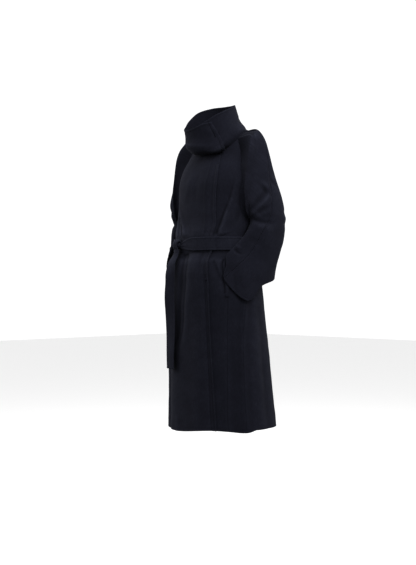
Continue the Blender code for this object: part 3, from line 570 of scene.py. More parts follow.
for kind, lift, width, angle, far, height in body["pleatsBelow"]:
    line = [(angle, body["pleatEnds"][1]), (far, height)]
    body["folds"].append((kind, lift, width, 0.02, 0.7, line))


def neckHeight(angle):
    return curve(body["neck"], np.abs(turned(angle)))


def ringValues(height):
    low = np.minimum(height, body["yoke"])
    rings = np.array(body["rings"], float)
    return (curve(rings, low, column) for column in (1, 2, 3))


def bodyBase(angle, height):
    # smooth coat body from the hem to the neck seam
    angle = np.asarray(angle, float)
    height = np.asarray(height, float)
    mid, wide, deep = ringValues(height)
    share = np.clip((height - body["slope"]) / (neckHeight(angle) - body["slope"]), 0, 1) ** body["closing"]
    neckMid, neckWide, neckDeep = body["neckRing"]
    mid = mid + (neckMid - mid) * share
    wide = wide + (neckWide - wide) * share
    deep = deep + (neckDeep - deep) * share
    turn = np.radians(angle)
    return np.stack([wide * np.sin(turn), mid - deep * np.cos(turn), height + 0 * turn], axis=-1)


def gridNormals(grid):
    return unit(np.cross(np.gradient(grid, axis=1), np.gradient(grid, axis=0)))


def smoothLine(line, spacing=10.0):
    # a bent line with its corners rounded, as evenly spaced points
    line = np.array(line, float)
    if len(line) < 3:
        return line
    walked = np.concatenate([[0], np.cumsum(np.linalg.norm(np.diff(line, axis=0), axis=1))])
    return curveRows(walked, line, np.linspace(0, walked[-1], max(4, int(walked[-1] / spacing))))


def lineLift(points, line, kind, width, fadeIn, fadeOut, normals=None):
    # how much of a fold each point takes; points out of its reach are left out of the sum
    line = smoothLine(line)
    reach = 4.5 * np.max(width)
    near = np.all((points > line.min(axis=0) - reach) & (points < line.max(axis=0) + reach), axis=-1)
    lift = np.zeros(points.shape[:-1])
    if near.any():
        facing = None if normals is None else normals[near]
        lift[near] = foldShape(points[near], line, kind, width, fadeIn, fadeOut, facing)
    return lift


def foldShape(points, line, kind, width, fadeIn, fadeOut, normals):
    # lift from the distance to the fold's line; going down it, a tuck's far side is on the right
    lengths = np.linalg.norm(np.diff(line, axis=0), axis=1)
    best = np.full(len(points), 1e9)
    along = np.zeros(len(points))
    side = np.zeros(len(points))
    walked = 0.0
    for first, last, length in zip(line, line[1:], lengths):
        step = last - first
        share = np.clip(((points - first) @ step) / length**2, 0, 1)
        gap = np.linalg.norm(points - first - share[:, None] * step, axis=-1)
        nearer = gap < best
        best = np.where(nearer, gap, best)
        along = np.where(nearer, (walked + share * length) / lengths.sum(), along)
        if kind == "tuck":
            if normals is None:
                turn = step[0] * (points[:, 1] - first[1]) - step[1] * (points[:, 0] - first[0])
            else:
                turn = np.sum(np.cross(step, points - first) * normals, axis=-1)
            side = np.where(nearer, turn, side)
        walked += length
    if kind == "bell":
        lift = np.exp(-(best / width) ** 2)
    elif kind == "tuck":
        nearSide, farSide = width
        lift = np.where(side > 0, np.exp(-best / farSide), np.exp(-(best / nearSide) ** 2))
    else:
        lift = np.exp(1 / width - np.sqrt(best**2 + 1) / width)
    if fadeIn:
        lift = lift * ease(along / fadeIn)
    if fadeOut:
        lift = lift * ease((1 - along) / fadeOut)
    return lift


def unevenness(x, y, seed):
    # slow lumps in cloth that hangs freely, about a millimetre high
    random = np.random.default_rng(seed)
    total = np.zeros(np.broadcast(x, y).shape)
    longest = cloth["lumps"][0]
    for size in cloth["lumps"]:
        turn, first, second = random.uniform(0, 2 * math.pi, 3)
        across = (x * math.cos(turn) + y * math.sin(turn)) / size * 2 * math.pi
        along = (y * math.cos(turn) - x * math.sin(turn)) / size * 2 * math.pi
        total = total + np.sin(across + first) * np.sin(0.6 * along + second) * size / longest
    return total * 0.55


def bodyLift(angle, height):
    lift = np.zeros(np.broadcast(angle, height).shape)
    for kind, size, width, fadeIn, fadeOut, line in body["folds"]:
        middle = sum(point[0] for point in line) / len(line)
        near = middle + turned(np.asarray(angle, float) - middle)
        places = np.stack([near * body["degree"], height + 0 * near], axis=-1)
        path = [(a * body["degree"], z) for a, z in line]
        lift = lift + size * lineLift(places, path, kind, width, fadeIn, fadeOut)
    turn = np.radians(angle)
    lift = lift + unevenness(160 * np.sin(turn), height + 0 * turn, 3) * np.abs(np.cos(turn))
    lift = lift + unevenness(160 * np.cos(turn), height + 0 * turn, 4) * np.abs(np.sin(turn))
    flat, fade = body["beltFlat"]
    return lift * ease((np.abs(height - body["beltHeight"]) - flat) / fade)


def bodySurface(angle, height):
    base = bodyBase(angle, height)
    mid, wide, deep = ringValues(height)
    turn = np.radians(angle)
    out = unit(np.stack([np.sin(turn) / wide, -np.cos(turn) / deep, 0 * turn + 0 * wide], axis=-1))
    return base + out * bodyLift(angle, height)[..., None]


def armhole(table, places):
    # places from 0 to 1 along an armhole seam, as angles and heights
    rows = np.array(table, float)
    points = bodyBase(rows[:, 0], rows[:, 1])
    walked = np.concatenate([[0], np.cumsum(np.linalg.norm(np.diff(points, axis=0), axis=1))])
    keyed = np.column_stack([walked, rows])
    angles = curve(keyed, places * walked[-1], 1)
    heights = curve(keyed, places * walked[-1], 2)
    angles[0], heights[0] = table[0]
    angles[-1] = table[-1][0]
    heights[-1] = neckHeight(table[-1][0])
    return angles, heights


step = cloth["step"] * 1.0
backStep = cloth["backStep"] * 1.0
closeSeam = [0, 0.7, 1.6, 3.0]      # columns close to a line of stitches
edgeRow = 7.8                       # row of stitches inside a finished edge
spans = {                  # lengths in mm along the cloth
    "skirt": 744,          # hem up to the armpit
    "armhole": 340,        # armpit up to the neck
    "neck": 48,            # neck seam over half a shoulder
    "wrap": 196,           # hidden edge of the left front to below the visible edge
    "stitches": 146,       # right front, hidden side to the placket stitches
    "edge": 50,            # placket stitches to the visible edge
    "panelSeam": 62,       # visible edge to the panel seam
    "side": 74,            # panel seam to the side seam
    "back": 640,
    "sleeve": 610,
    "collar": 135,         # neck seam up to the rim
}
skirtShares = shares(spans["skirt"], step, start=freeEdge)
armholeShares = shares(spans["armhole"], step, end=seamEdge)
neckShares = shares(spans["neck"], step)
wrapShares = shares(spans["wrap"], step, start=freeEdge)
toStitches = shares(spans["stitches"], step, end=closeSeam)
toEdge = shares(spans["edge"], step, start=closeSeam, end=freeEdge)
toPanelSeam = shares(spans["panelSeam"], step, end=closeSeam)
toSide = shares(spans["side"], step, start=closeSeam, end=seamEdge)
backShares = shares(spans["back"], backStep, start=seamEdge, end=seamEdge)
sleeveShares = 8 * shares(spans["sleeve"], step, start=seamEdge, end=freeEdge)

# places across the fronts, in mm from their first column
restSpan = spans["panelSeam"] + spans["side"]
stitchPlace = restSpan + spans["stitches"]
edgePlace = stitchPlace + spans["edge"]
restPlaces = np.concatenate([
    spans["panelSeam"] * toPanelSeam, spans["panelSeam"] + spans["side"] * toSide[1:],
])
leftPlaces = np.concatenate([spans["wrap"] * wrapShares, spans["wrap"] + restPlaces[1:]])
rightPlaces = np.concatenate([
    restSpan - restPlaces[::-1], restSpan + spans["stitches"] * toStitches[1:],
    stitchPlace + spans["edge"] * toEdge[1:],
])


def restColumns(height, seamAngle):
    # angles from the visible edge to the panel seam and on to the side seam
    edge = float(curve(body["wrap"], height))
    middle = edge + (seamAngle - edge) * float(curve(body["panelSeam"], height))
    return np.concatenate([
        edge + (middle - edge) * toPanelSeam, middle + (seamAngle - middle) * toSide[1:],
    ])


def frontColumns(height, seamAngle):
    edge = float(curve(body["wrap"], height))
    return np.concatenate([-edge + 2 * edge * wrapShares, restColumns(height, seamAngle)[1:]])


def rightColumns(height, seamAngle):
    edge = float(curve(body["wrap"], height))
    stitches = float(curve(body["stitches"], height))
    return np.concatenate([
        -restColumns(height, seamAngle)[::-1], -edge + (stitches + edge) * toStitches[1:],
        stitches + (edge - stitches) * toEdge[1:],
    ])


def skirtRow(angles, height):
    share = max(0.0, (body["hemStart"] - height) / (body["hemStart"] - body["lowest"]))
    heights = height + share * (curve(body["hem"], turned(angles)) - body["lowest"])
    return bodySurface(angles, heights)


def panel(columnsAt, table):
    # rows up from the hem to the armpit, then up an armhole seam to the neck
    rows = []
    low, high = body["lowest"], body["armpit"]
    for height in low + (high - low) * skirtShares[:-1]:
        rows.append(skirtRow(columnsAt(height, float(curve(body["side"], height))), height))
    for angle, height in zip(*armhole(table, armholeShares)):
        share = (height - high) / (neckHeight(angle) - high)
        angles = columnsAt(high + (-80 - high) * share, float(angle))
        rows.append(bodySurface(angles, high + (neckHeight(angles) - high) * share))
    return np.array(rows)


def mirrored(patch):
    return patch[:, ::-1] * np.array([-1.0, 1.0, 1.0])


def backColumns(height, seamAngle):
    return seamAngle + (360 - 2 * seamAngle) * backShares


leftFront = panel(frontColumns, body["frontArmhole"])
rightFront = panel(rightColumns, body["frontArmhole"])
backPanel = panel(backColumns, body["backArmhole"])


def drawnIn(patch, places, seam):
    # a patch with the panel seam's shallow groove, which ends at the pocket
    groove = 0.9 * np.exp(-((places - seam) / 1.5) ** 2)
    depth = groove[None, :] * ease((body["panelSeamTop"] - patch[..., 2]) / 25)
    return patch - gridNormals(patch) * depth[..., None]


print("body grids:", leftFront.shape[:2], rightFront.shape[:2], backPanel.shape[:2])

# sleeves

sleeve = {
    "room": (7, 8),          # clear space beside the coat, and more than that beside its belt
    # rings from the shoulder to the cuff, eight points each: front, front outer, outer, rear outer,
    # rear, rear inner, inner, front inner
    "rings": [
        [(172, -58, -186), (177, -38, -62), (160, 22, -8), (175, 42, -58),
         (170, 82, -170), (176, 46, -290), (184, -8, -326), (178, -48, -292)],
        [(180, -68, -218), (189, -44, -154), (201, 20, -88), (201, 48, -136),
         (190, 88, -226), (190, 48, -312), (190, -6, -336), (182, -50, -300)],
        [(186, -62, -270), (207, -50, -248), (225, 14, -210), (227, 68, -246),
         (206, 94, -285), (194, 58, -342), (190, 2, -350), (182, -48, -314)],
        [(186, -42, -326), (210, -36, -316), (237, 18, -306), (235, 76, -322),
         (214, 92, -340), (195, 64, -374), (188, 10, -368), (180, -30, -340)],
        [(184, -64, -372), (207, -48, -366), (233, -6, -370), (233, 66, -385),
         (216, 86, -392), (196, 64, -408), (188, 12, -394), (173, -44, -378)],
        [(168, -88, -408), (188, -70, -430), (216, -28, -456), (229, 50, -440),
         (212, 70, -440), (196, 56, -444), (190, 4, -422), (164, -70, -408)],
        [(158, -110, -440), (170, -98, -478), (206, -58, -522), (222, 22, -495),
         (212, 58, -488), (198, 42, -474), (190, -12, -442), (156, -94, -426)],
        [(149, -128, -484), (141, -126, -536), (196, -72, -604), (213, -18, -554),
         (215, 44, -530), (201, 26, -500), (188, -34, -458), (148, -114, -441)],
    ],
    # where the overarm seam runs: ring, angle from the outer side
    "overarm": [(0, 90), (1, 90), (3, 88), (4, 82), (5, 72), (6, 60), (7, 50), (8, 38)],
    # folds as on the body, with points in space
    "folds": [
        ("bell", -2.2, 10, 0.15, 0.2,
         [(190, -34, -158), (191, -50, -195), (187, -60, -232), (176, -62, -275)]),
        ("bell", 2.2, 14, 0.2, 0.25,
         [(204, -35, -193), (207, -44, -230), (204, -54, -256), (195, -56, -285), (184, -52, -308)]),
        # the elbow's big fold: a sharp lip that turns back on itself round a deep hollow
        ("tuck", 5.5, (11, 22), 0.3, 0.12,
         [(206, -27, -180), (213, -15, -190), (220, -3, -204), (227, 9, -226), (227, 4, -240),
          (222, -16, -263), (210, -41, -288), (199, -46, -305), (187, -43, -322)]),
        ("bell", -3.6, 11, 0.25, 0.15,
         [(212, -20, -200), (220, -9, -224), (217, -25, -248), (209, -43, -271), (196, -50, -298)]),
        ("bell", -2.2, 9, 0.15, 0.6,
         [(208, -38, -308), (220, -23, -291), (232, 7, -277), (236, 30, -269)]),
        ("bell", 1.5, 10, 0.2, 0.6,
         [(206, -39, -316), (219, -22, -305), (230, -2, -299), (238, 22, -296)]),
        ("bell", -4.0, 8, 0.12, 0.6,
         [(194, -44, -322), (205, -39, -328), (217, -28, -332), (234, 3, -336), (239, 41, -325)]),
        ("bell", 1.6, 11, 0.2, 0.6,
         [(204, -44, -346), (220, -30, -350), (236, 2, -356), (238, 44, -350)]),
        ("bell", -3.0, 9, 0.3, 0.4, [(222, 8, -180), (229, 30, -196), (232, 55, -214)]),
        ("bell", -2.0, 10, 0.3, 0.3, [(236, 60, -300), (226, 84, -296), (212, 92, -300)]),
        ("bell", -2.0, 10, 0.3, 0.3, [(236, 60, -336), (224, 84, -338), (208, 92, -345)]),
        ("bell", 2.5, 10, 0.3, 0.3, [(238, 58, -318), (226, 86, -318), (210, 94, -322)]),
        # forearm: soft drags towards the wrist
        ("bell", -1.2, 12, 0.3, 0.5,
         [(186, -72, -390), (200, -60, -392), (214, -40, -400), (224, -16, -414)]),
        ("bell", -3.5, 5, 0.2, 0.6,
         [(158, -100, -426), (165, -98, -433), (174, -90, -441), (186, -76, -444)]),
        ("bell", 2.8, 7, 0.2, 0.6, [(160, -96, -413), (170, -88, -421), (182, -76, -425)]),
    ],
}


def loopPoints(ring, angles):
    # closed smooth curve through the eight points of a sleeve ring
    points = np.array(ring, float)
    place = (angles % 360.0) / 45.0
    low = np.floor(place).astype(int) % 8
    t = (place - np.floor(place))[:, None]
    a, b, c, d = (points[(low + shift) % 8] for shift in (-1, 0, 1, 2))
    return 0.5 * (2 * b + (c - a) * t + (2 * a - 5 * b + 4 * c - d) * t**2 + (3 * b - a - 3 * c + d) * t**3)


def clearOfBody(points, ring):
    # sleeve points pushed out until they stand clear of the coat's side, and by more at its belt
    height = points[..., 2]
    beside, atBelt = sleeve["room"]
    room = beside * ease(ring / 0.7) + atBelt * ease((44 - np.abs(height - body["beltHeight"])) / 20)
    mid, wide, deep = ringValues(height)
    reach = np.hypot(points[..., 0] / (wide + room), (points[..., 1] - mid) / (deep + room))
    push = np.where((reach < 1) & (height < -200), 1 / np.maximum(reach, 0.2), 1.0)
    pushed = points.copy()
    pushed[..., 0] = points[..., 0] * push
    pushed[..., 1] = mid + (points[..., 1] - mid) * push
    return pushed


def tubeNormals(grid):
    return gridNormals(np.concatenate([grid[:, -2:-1], grid, grid[:, 1:2]], axis=1))[:, 1:-1]


def sleeveGrid():
    # the left sleeve as front and back halves, rows up from the cuff
    frontEnd, backEnd = body["frontArmhole"][-1][0], body["backArmhole"][-1][0]
    shoulder = 0.5 * (frontEnd + backEnd)
    frontNeck = frontEnd + (shoulder - frontEnd) * neckShares
    backNeck = shoulder + (backEnd - shoulder) * neckShares
    first = np.concatenate([
        bodySurface(*armhole(body["frontArmhole"], armholeShares)),
        bodySurface(frontNeck, neckHeight(frontNeck))[1:],
        bodySurface(backNeck, neckHeight(backNeck))[1:-1],
        bodySurface(*armhole(body["backArmhole"], armholeShares))[::-1],
    ])
    # share of the half turn that each column takes, the armhole ten parts and the neck two
    climb = np.concatenate([armholeShares * 10 / 12, 10 / 12 + neckShares[1:] * 2 / 12])
    fall = 1 - np.concatenate([1 - (1 - neckShares[::-1]) * 2 / 12, armholeShares[::-1][1:] * 10 / 12])
    rows = [first]
    keys = np.arange(len(sleeve["rings"]) + 1)
    for share in sleeveShares[1:]:
        overarm = float(curve(sleeve["overarm"], share))
        angles = np.concatenate([-90 + (overarm + 90) * climb, overarm + (270 - overarm) * fall[1:]])
        paths = np.array([first] + [loopPoints(ring, angles) for ring in sleeve["rings"]])
        rows.append(curveRows(keys, paths, share))
    grid = np.array(rows)[::-1]
    places = sleeveShares[::-1, None] + 0 * grid[..., 0]
    normals = tubeNormals(grid)
    lift = unevenness(grid[..., 1], grid[..., 2], 7)
    for kind, size, width, fadeIn, fadeOut, line in sleeve["folds"]:
        lift = lift + size * lineLift(grid, line, kind, width, fadeIn, fadeOut, normals)
    grid = clearOfBody(grid + normals * (lift * ease(places))[..., None], places)
    grid[:, -1] = grid[:, 0]
    grid[-1] = first
    half = len(climb) - 1
    return grid[:, :half + 1], grid[:, half:]


sleeveFront, sleeveBack = sleeveGrid()
print("sleeve grids:", sleeveFront.shape[:2], sleeveBack.shape[:2])

# collar

collar = {
    # rings from the neck seam to the rim: middle of the depth, half width, half depth
    "rings": [
        (0, 97, 80), (-14, 98, 89), (-32, 95, 97), (-40, 91, 97), (-43.5, 88.5, 94.5),
        (-47, 86.5, 92), (-51.5, 85, 91), (-56.5, 84.5, 90.5),
    ],
    # signed angle from the front, then one height per ring
    "heights": [
        (-180, 15, 26, 38, 50, 62, 74, 85, 96),
        (-135, 9, 18, 29, 42, 54, 67, 80, 91),
        (-105, -4, -1, 4, 16, 30, 45, 60, 75),
        (-75, -39, -36, -30, -18, -4, 10, 25, 41),
        (-45, -74, -68, -58, -46, -33, -20, -6, 7),
        (-20, -87, -82, -73, -62, -49, -34, -19, -5),
        (0, -92, -86, -78, -66, -52, -36, -20, -3),
        (22, -87, -84, -80, -68, -51, -32, -12, 7.5),
        (45, -74, -76, -78, -67, -45, -20, 5, 29),
        (62, -56, -58, -58, -44, -21, 3, 25, 46),
        (80, -33, -28, -18, -2, 16, 32, 46, 59.5),
        (105, -4, 2, 10, 22, 36, 50, 62, 76),
        (135, 9, 18, 28, 40, 54, 68, 80, 91),
        (180, 15, 26, 38, 50, 62, 74, 85, 96),
    ],
    # how far round the end of the upper side runs past the front edge, one angle per ring
    "tab": [0, 13, 22, 23.5, 20.5, 17, 13, 9.5],
    "tabFrom": (340.0, 60.0),      # angle where that run starts, and how far it takes to come in
    "drop": 15.0,                  # how far the rim of that end drops at its corner
    "dropFrom": (384.0, 24.6),
    "lift": 4.2,                   # how far that end lies off the one below it
    "flare": 6.0,                  # how far it stands off further at its edge
    "flareFrom": (372.0, 24.0),
    "strip": 10.0,                 # width of the plump strip along that edge
    "stripLift": 2.0,
    "stripGroove": 2.6,            # depth and width of the groove behind the strip
    # folds in the standing cloth, as on the body, with (angle, ring) points
    "folds": [
        ("crease", -3.0, 4, 0.3, 0.3, [(33, 3.6), (48, 4.2), (66, 4.0)]),
        ("crease", -2.5, 4, 0.3, 0.3, [(30, 2.4), (44, 2.7), (58, 2.3)]),
        ("bell", 2.0, 7, 0.3, 0.3, [(34, 3.0), (50, 3.4), (64, 3.1)]),
        ("bell", -2.0, 9, 0.3, 0.4, [(318, 1.2), (335, 2.0), (356, 2.3)]),
        ("bell", 1.8, 9, 0.3, 0.4, [(322, 3.0), (342, 3.6), (366, 3.4)]),
        ("bell", -2.0, 8, 0.3, 0.4, [(110, 2.0), (126, 3.0), (150, 3.6)]),
        ("bell", -2.0, 8, 0.3, 0.4, [(250, 2.0), (234, 3.0), (210, 3.6)]),
    ],
    "degree": 1.6, "ring": 19.0,      # mm in one degree and in one ring
}
lastRing = len(collar["rings"]) - 1
collarRows = lastRing * shares(spans["collar"], step, start=seamEdge, end=freeEdge)


def collarGrid(angles):
    rings = np.array(collar["rings"], float)
    keys = np.arange(len(rings))
    heights = np.array(collar["heights"], float)
    tab = ease((angles - collar["tabFrom"][0]) / collar["tabFrom"][1])
    rows = []
    for place in collarRows:
        here = angles + float(curveRows(keys, collar["tab"], place)) * tab
        mid, wide, deep = curveRows(keys, rings, place)
        table = curveRows(keys, heights[:, 1:].T, place)
        rise = neckHeight(here) if place == 0 else curveRows(heights[:, 0], table, turned(here))
        corner = np.clip((here - collar["dropFrom"][0]) / collar["dropFrom"][1], 0, 1) ** 1.3
        rise = rise - collar["drop"] * corner * (place / lastRing) ** 2
        turn = np.radians(here)
        rows.append(np.stack([wide * np.sin(turn), mid - deep * np.cos(turn), rise], axis=-1))
    grid = np.array(rows)
    flat = np.stack([angles[None, :] * collar["degree"] + 0 * collarRows[:, None],
                     collarRows[:, None] * collar["ring"] + 0 * angles[None, :]], axis=-1)
    lift = unevenness(flat[..., 0], flat[..., 1], 11) * 0.8
    for kind, size, width, fadeIn, fadeOut, line in collar["folds"]:
        path = [(a * collar["degree"], ring * collar["ring"]) for a, ring in line]
        lift = lift + size * lineLift(flat, path, kind, width, fadeIn, fadeOut)
    lift = lift * ease(collarRows / 1.0)[:, None]
    # the end that lies on top stands off, and its edge is a plump strip with a groove behind it
    shown = ease(collarRows / 1.5)[:, None]
    closed = 1 - 0.7 * ease((collarRows - 5.5) / 1.5)[:, None]
    flare = ease((angles - collar["flareFrom"][0]) / collar["flareFrom"][1])
    lift = lift + collar["flare"] * flare * shown * closed
    gap = collarPlaces[None, :] + collar["strip"]
    groove = np.exp(-((gap + 2.5) / collar["stripGroove"]) ** 2)
    lift = lift + shown * (collar["stripLift"] * ease(1 + gap / 3.0) - collar["stripGroove"] * groove)
    return grid + gridNormals(grid) * lift[..., None]


def collarAngles():
    # every column of the neck seam, in the order that the collar wraps
    frontEnd, backEnd = float(body["frontArmhole"][-1][0]), float(body["backArmhole"][-1][0])
    shoulder = 0.5 * (frontEnd + backEnd)
    left = np.concatenate([
        frontEnd + (shoulder - frontEnd) * neckShares[1:],
        shoulder + (backEnd - shoulder) * neckShares[1:],
    ])
    return np.concatenate([
        frontColumns(-80, frontEnd), left, backColumns(0, backEnd)[1:],
        (360 - left[::-1])[1:], [360 - frontEnd], 360 + rightColumns(-80, frontEnd)[1:],
    ])


neckAngles = collarAngles()
# places round the collar, in mm from the end that lies on top; only those near that end are exact
collarPlaces = np.concatenate([
    np.arange(len(rightPlaces) - len(neckAngles), 0) * step - rightPlaces[-1], rightPlaces - rightPlaces[-1],
])
collarPatch = collarGrid(neckAngles)
print("collar grid:", collarPatch.shape[:2])

# shared wall directions


def sharedOffsets(patches):
    # half-wall direction at every point, shared where patches meet and longer where they meet at an angle
    sums = [np.zeros(patch.shape) for patch in patches]
    counts = [np.zeros(patch.shape[:2]) for patch in patches]
    for patch, total, count in zip(patches, sums, counts):
        faces = unit(np.cross(patch[1:, 1:] - patch[:-1, :-1], patch[1:, :-1] - patch[:-1, 1:]))
        for rows in (slice(None, -1), slice(1, None)):
            for columns in (slice(None, -1), slice(1, None)):
                total[rows, columns] += faces
                count[rows, columns] += 1
    keys = np.concatenate([np.round(patch * 20).reshape(-1, 3) for patch in patches]).astype(int)
    _, owner = np.unique(keys, axis=0, return_inverse=True)
    owner = owner.reshape(-1)
    total = np.zeros((owner.max() + 1, 3))
    count = np.zeros(owner.max() + 1)
    np.add.at(total, owner, np.concatenate([value.reshape(-1, 3) for value in sums]))
    np.add.at(count, owner, np.concatenate([value.reshape(-1) for value in counts]))
    means = (total / count[:, None])[owner]
    size = np.linalg.norm(means, axis=1, keepdims=True)
    offsets = means / np.maximum(size, 1e-6) / np.maximum(size, 0.66)
    result, start = [], 0
    for patch in patches:
        length = patch.shape[0] * patch.shape[1]
        result.append(offsets[start:start + length].reshape(patch.shape))
        start += length
    return result


patches = [leftFront, rightFront, backPanel, sleeveFront, sleeveBack,
           mirrored(sleeveFront), mirrored(sleeveBack), collarPatch]
offsets = sharedOffsets(patches)
print("wall directions shared between", len(patches), "patches")

# the right front rises over the left one, from a level line behind the belt knot
rightLevels = ease((rightPlaces / restSpan - 4 / 7) * 7 / 3)
edgeLevels = rightLevels + ease((rightPlaces - edgePlace + 16) / 8)      # its edge rolls up a little
collarLevels = np.zeros(len(neckAngles))
collarLevels[-len(rightLevels):] = rightLevels
collarLift = np.interp(collarRows, [0, 1], [1.0, collar["lift"] / cloth["layer"]])


def raised(patch, directions, levels):
    return patch + directions * (cloth["layer"] * levels)[..., None]


def stitchRows(across, along, down=(), level=()):
    # distance in mm to the nearest row of stitches and the place along it, from a sheet's flat places:
    # rows that run down the sheet at these places across it, and level rows at these places along it
    across, along = np.meshgrid(across, along)
    gap = np.full(across.shape, cloth["far"])
    run = along.copy()
    for places, here, other in ((down, across, along), (level, along, across)):
        for place in places:
            near = np.abs(here - place)
            run = np.where(near < gap, other, run)
            gap = np.minimum(gap, near)
    return gap, run


def seamedPiece(name, node, patch, directions, borders, stitches):
    piece = makeSheet(name, patch, directions, cloth["thickness"], borders, stitches)
    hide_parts(node)
    measured = halfArea(piece.data)
    print(f"{name}: {measured:.3f} square metres, {len(piece.data.polygons)} faces")


# borders in the order bottom, top, first column, last column
seamTop = 480          # mm up from the hem, where the panel seam ends at the pocket
rollTop = 1000         # mm up from the hem, where the right front's edge lies flat below the collar
skirtPlaces = np.concatenate([
    spans["skirt"] * skirtShares[:-1], spans["skirt"] + spans["armhole"] * armholeShares,
])
leftSeam = spans["wrap"] + spans["panelSeam"]
leftRows = stitchRows(leftPlaces, skirtPlaces, down=[leftSeam], level=[edgeRow])
leftRows[0][skirtPlaces > seamTop] = cloth["far"]
seamedPiece("coat_left_front", "left_front", drawnIn(leftFront, leftPlaces, leftSeam), offsets[0],
            (freeProfile, seamProfile, freeProfile, seamProfile), leftRows)
rightSeam = spans["side"]
rightRows = stitchRows(rightPlaces, skirtPlaces, down=[rightSeam, stitchPlace, edgePlace - edgeRow],
                       level=[edgeRow])
rightRows[0][np.ix_(skirtPlaces > seamTop, rightPlaces < 120)] = cloth["far"]
rightRaised = raised(drawnIn(rightFront, rightPlaces, rightSeam), offsets[1],
                     np.where(skirtPlaces[:, None] < rollTop, edgeLevels, rightLevels))
seamedPiece("coat_right_front", "right_front", rightRaised, offsets[1],
            (freeProfile, seamProfile, seamProfile, freeProfile), rightRows)
seamedPiece("coat_back", "back", backPanel, offsets[2],
            (freeProfile, seamProfile, seamProfile, seamProfile),
            stitchRows(spans["back"] * backShares, skirtPlaces, level=[edgeRow]))
sleeveBorders = (freeProfile, seamProfile, seamProfile, seamProfile)
sleevePlaces = spans["sleeve"] * (1 - sleeveShares[::-1] / 8)
sleeveCuts = {"front": ((0.20, 0.62), 0.066), "back": ((0.28, 0.64), 0.10)}
for side, first in (("left", 3), ("right", 5)):
    for index, (half, (flat, area)) in enumerate(sleeveCuts.items(), first):
        across = np.arange(patches[index].shape[1]) * step
        seamedPiece(f"sleeve_{side}_{half}", f"{side}_sleeve_{half}", patches[index], offsets[index],
                    sleeveBorders, stitchRows(across, sleevePlaces, level=[edgeRow]))
collarRaised = raised(collarPatch, offsets[7], collarLift[:, None] * collarLevels[None, :])
seamedPiece("coat_collar", "collar", collarRaised, offsets[7],
            (seamProfile, freeProfile, freeProfile, freeProfile),
            stitchRows(collarPlaces, spans["collar"] * collarRows / lastRing,
                       level=[spans["collar"] - edgeRow]))

# belt

belt = {
    "cloth": 4.0,            # two layers of the coat's cloth
    "width": 47.0,
    "lift": 3.8,             # half the coat's cloth, a gap of 0.6 and half the belt's own cloth
    "stitch": 7.2,           # row of stitches inside each edge
    # raises the tone of every belt piece: painted light, a paler, lit copy of the coat's wool
    "brushed": 0.35,
    "knotAngle": -22.0,
    "endAngle": 2.5,         # from the knot's middle to an end of the band
    "pleats": 1.3,
    "overlap": (-75, 32, 33.5, 7),     # angles where the fronts' layers start to lift it, and where they end
    # half width by distance from the knot, where the band is drawn together
    "pinch": [(0, 4.5), (12, 9.5), (33, 16.5), (55, 21.3), (76, 23.5)],
    # tails: height, angle from the front, lift off the coat, width, twist, bow of the cross-section
    "frontTail": [
        (-423.0, -22, 14, 27, 0, 4.5), (-450, -21.4, 15, 33, -8, 4), (-490, -20.5, 16, 35, -25, 3),
        (-530, -20.5, 17, 34, -40, 2.5), (-570, -21, 17, 36, -40, 2), (-640, -22, 15, 43, -24, 1.5),
        (-720, -22.5, 14, 47, -12, 1.2), (-800, -23, 15, 47, -6, 1.5), (-846, -23, 15, 47, -4, 2),
    ],
    "rearTail": [
        (-427, -26, 9.6, 28, 0, 2), (-450, -29, 8.2, 36, 0, 2), (-480, -32, 6, 42, 0, 1.5),
        (-530, -34, 4.5, 44, 0, 1), (-600, -34, 4, 46, 2, 1), (-700, -34, 5, 47, 2, 1.2),
        (-815, -34, 6, 47, 2, 1.5),
    ],
    # the front tail's way over the knot: sideways, outwards and up from the belt's middle, width, bow
    "loop": [
        (-3, 20.5, -16, 29, 4.5), (-4, 23.5, -9, 29, 4.5), (-3.5, 24.5, 1, 31, 5), (-2, 22.5, 9, 34, 5.5),
        (1, 15.5, 14.5, 35, 6), (4, 9, 12, 31, 6), (6, 6, 3, 24, 5),
    ],
    # knot: middle (sideways, outwards, up) and half sizes of the roll that the loop holds
    "knot": {"middle": (1.0, 11.0, -1.5), "half": (17.0, 10.0, 12.0)},
}


def surfaceFrame(angle, height):
    # point, outward direction and sideways direction on the smooth body
    here = bodyBase(angle, height)
    side = unit(bodyBase(angle + 0.5, height) - bodyBase(angle - 0.5, height))
    out = np.stack([side[..., 1], -side[..., 0], 0 * side[..., 0]], axis=-1)
    return here, out, side


def beltLevel(angle):
    # how far the layers of the fronts lift the belt: 1 over the wrap, easing off past both its edges
    signed = turned(angle)
    first, rise, last, fall = belt["overlap"]
    return ease((signed - first) / rise) * (1 - ease((signed - last) / fall))


beltMarks = [0, 0.6, 1.6, 3, 4.6, 6.2, 7.2, 9]                     # rows close to an edge of the belt
beltPlaces = shares(belt["width"], 3.0, beltMarks, beltMarks)      # places across it, from 0 to 1
beltRows = [belt["stitch"], belt["width"] - belt["stitch"]]


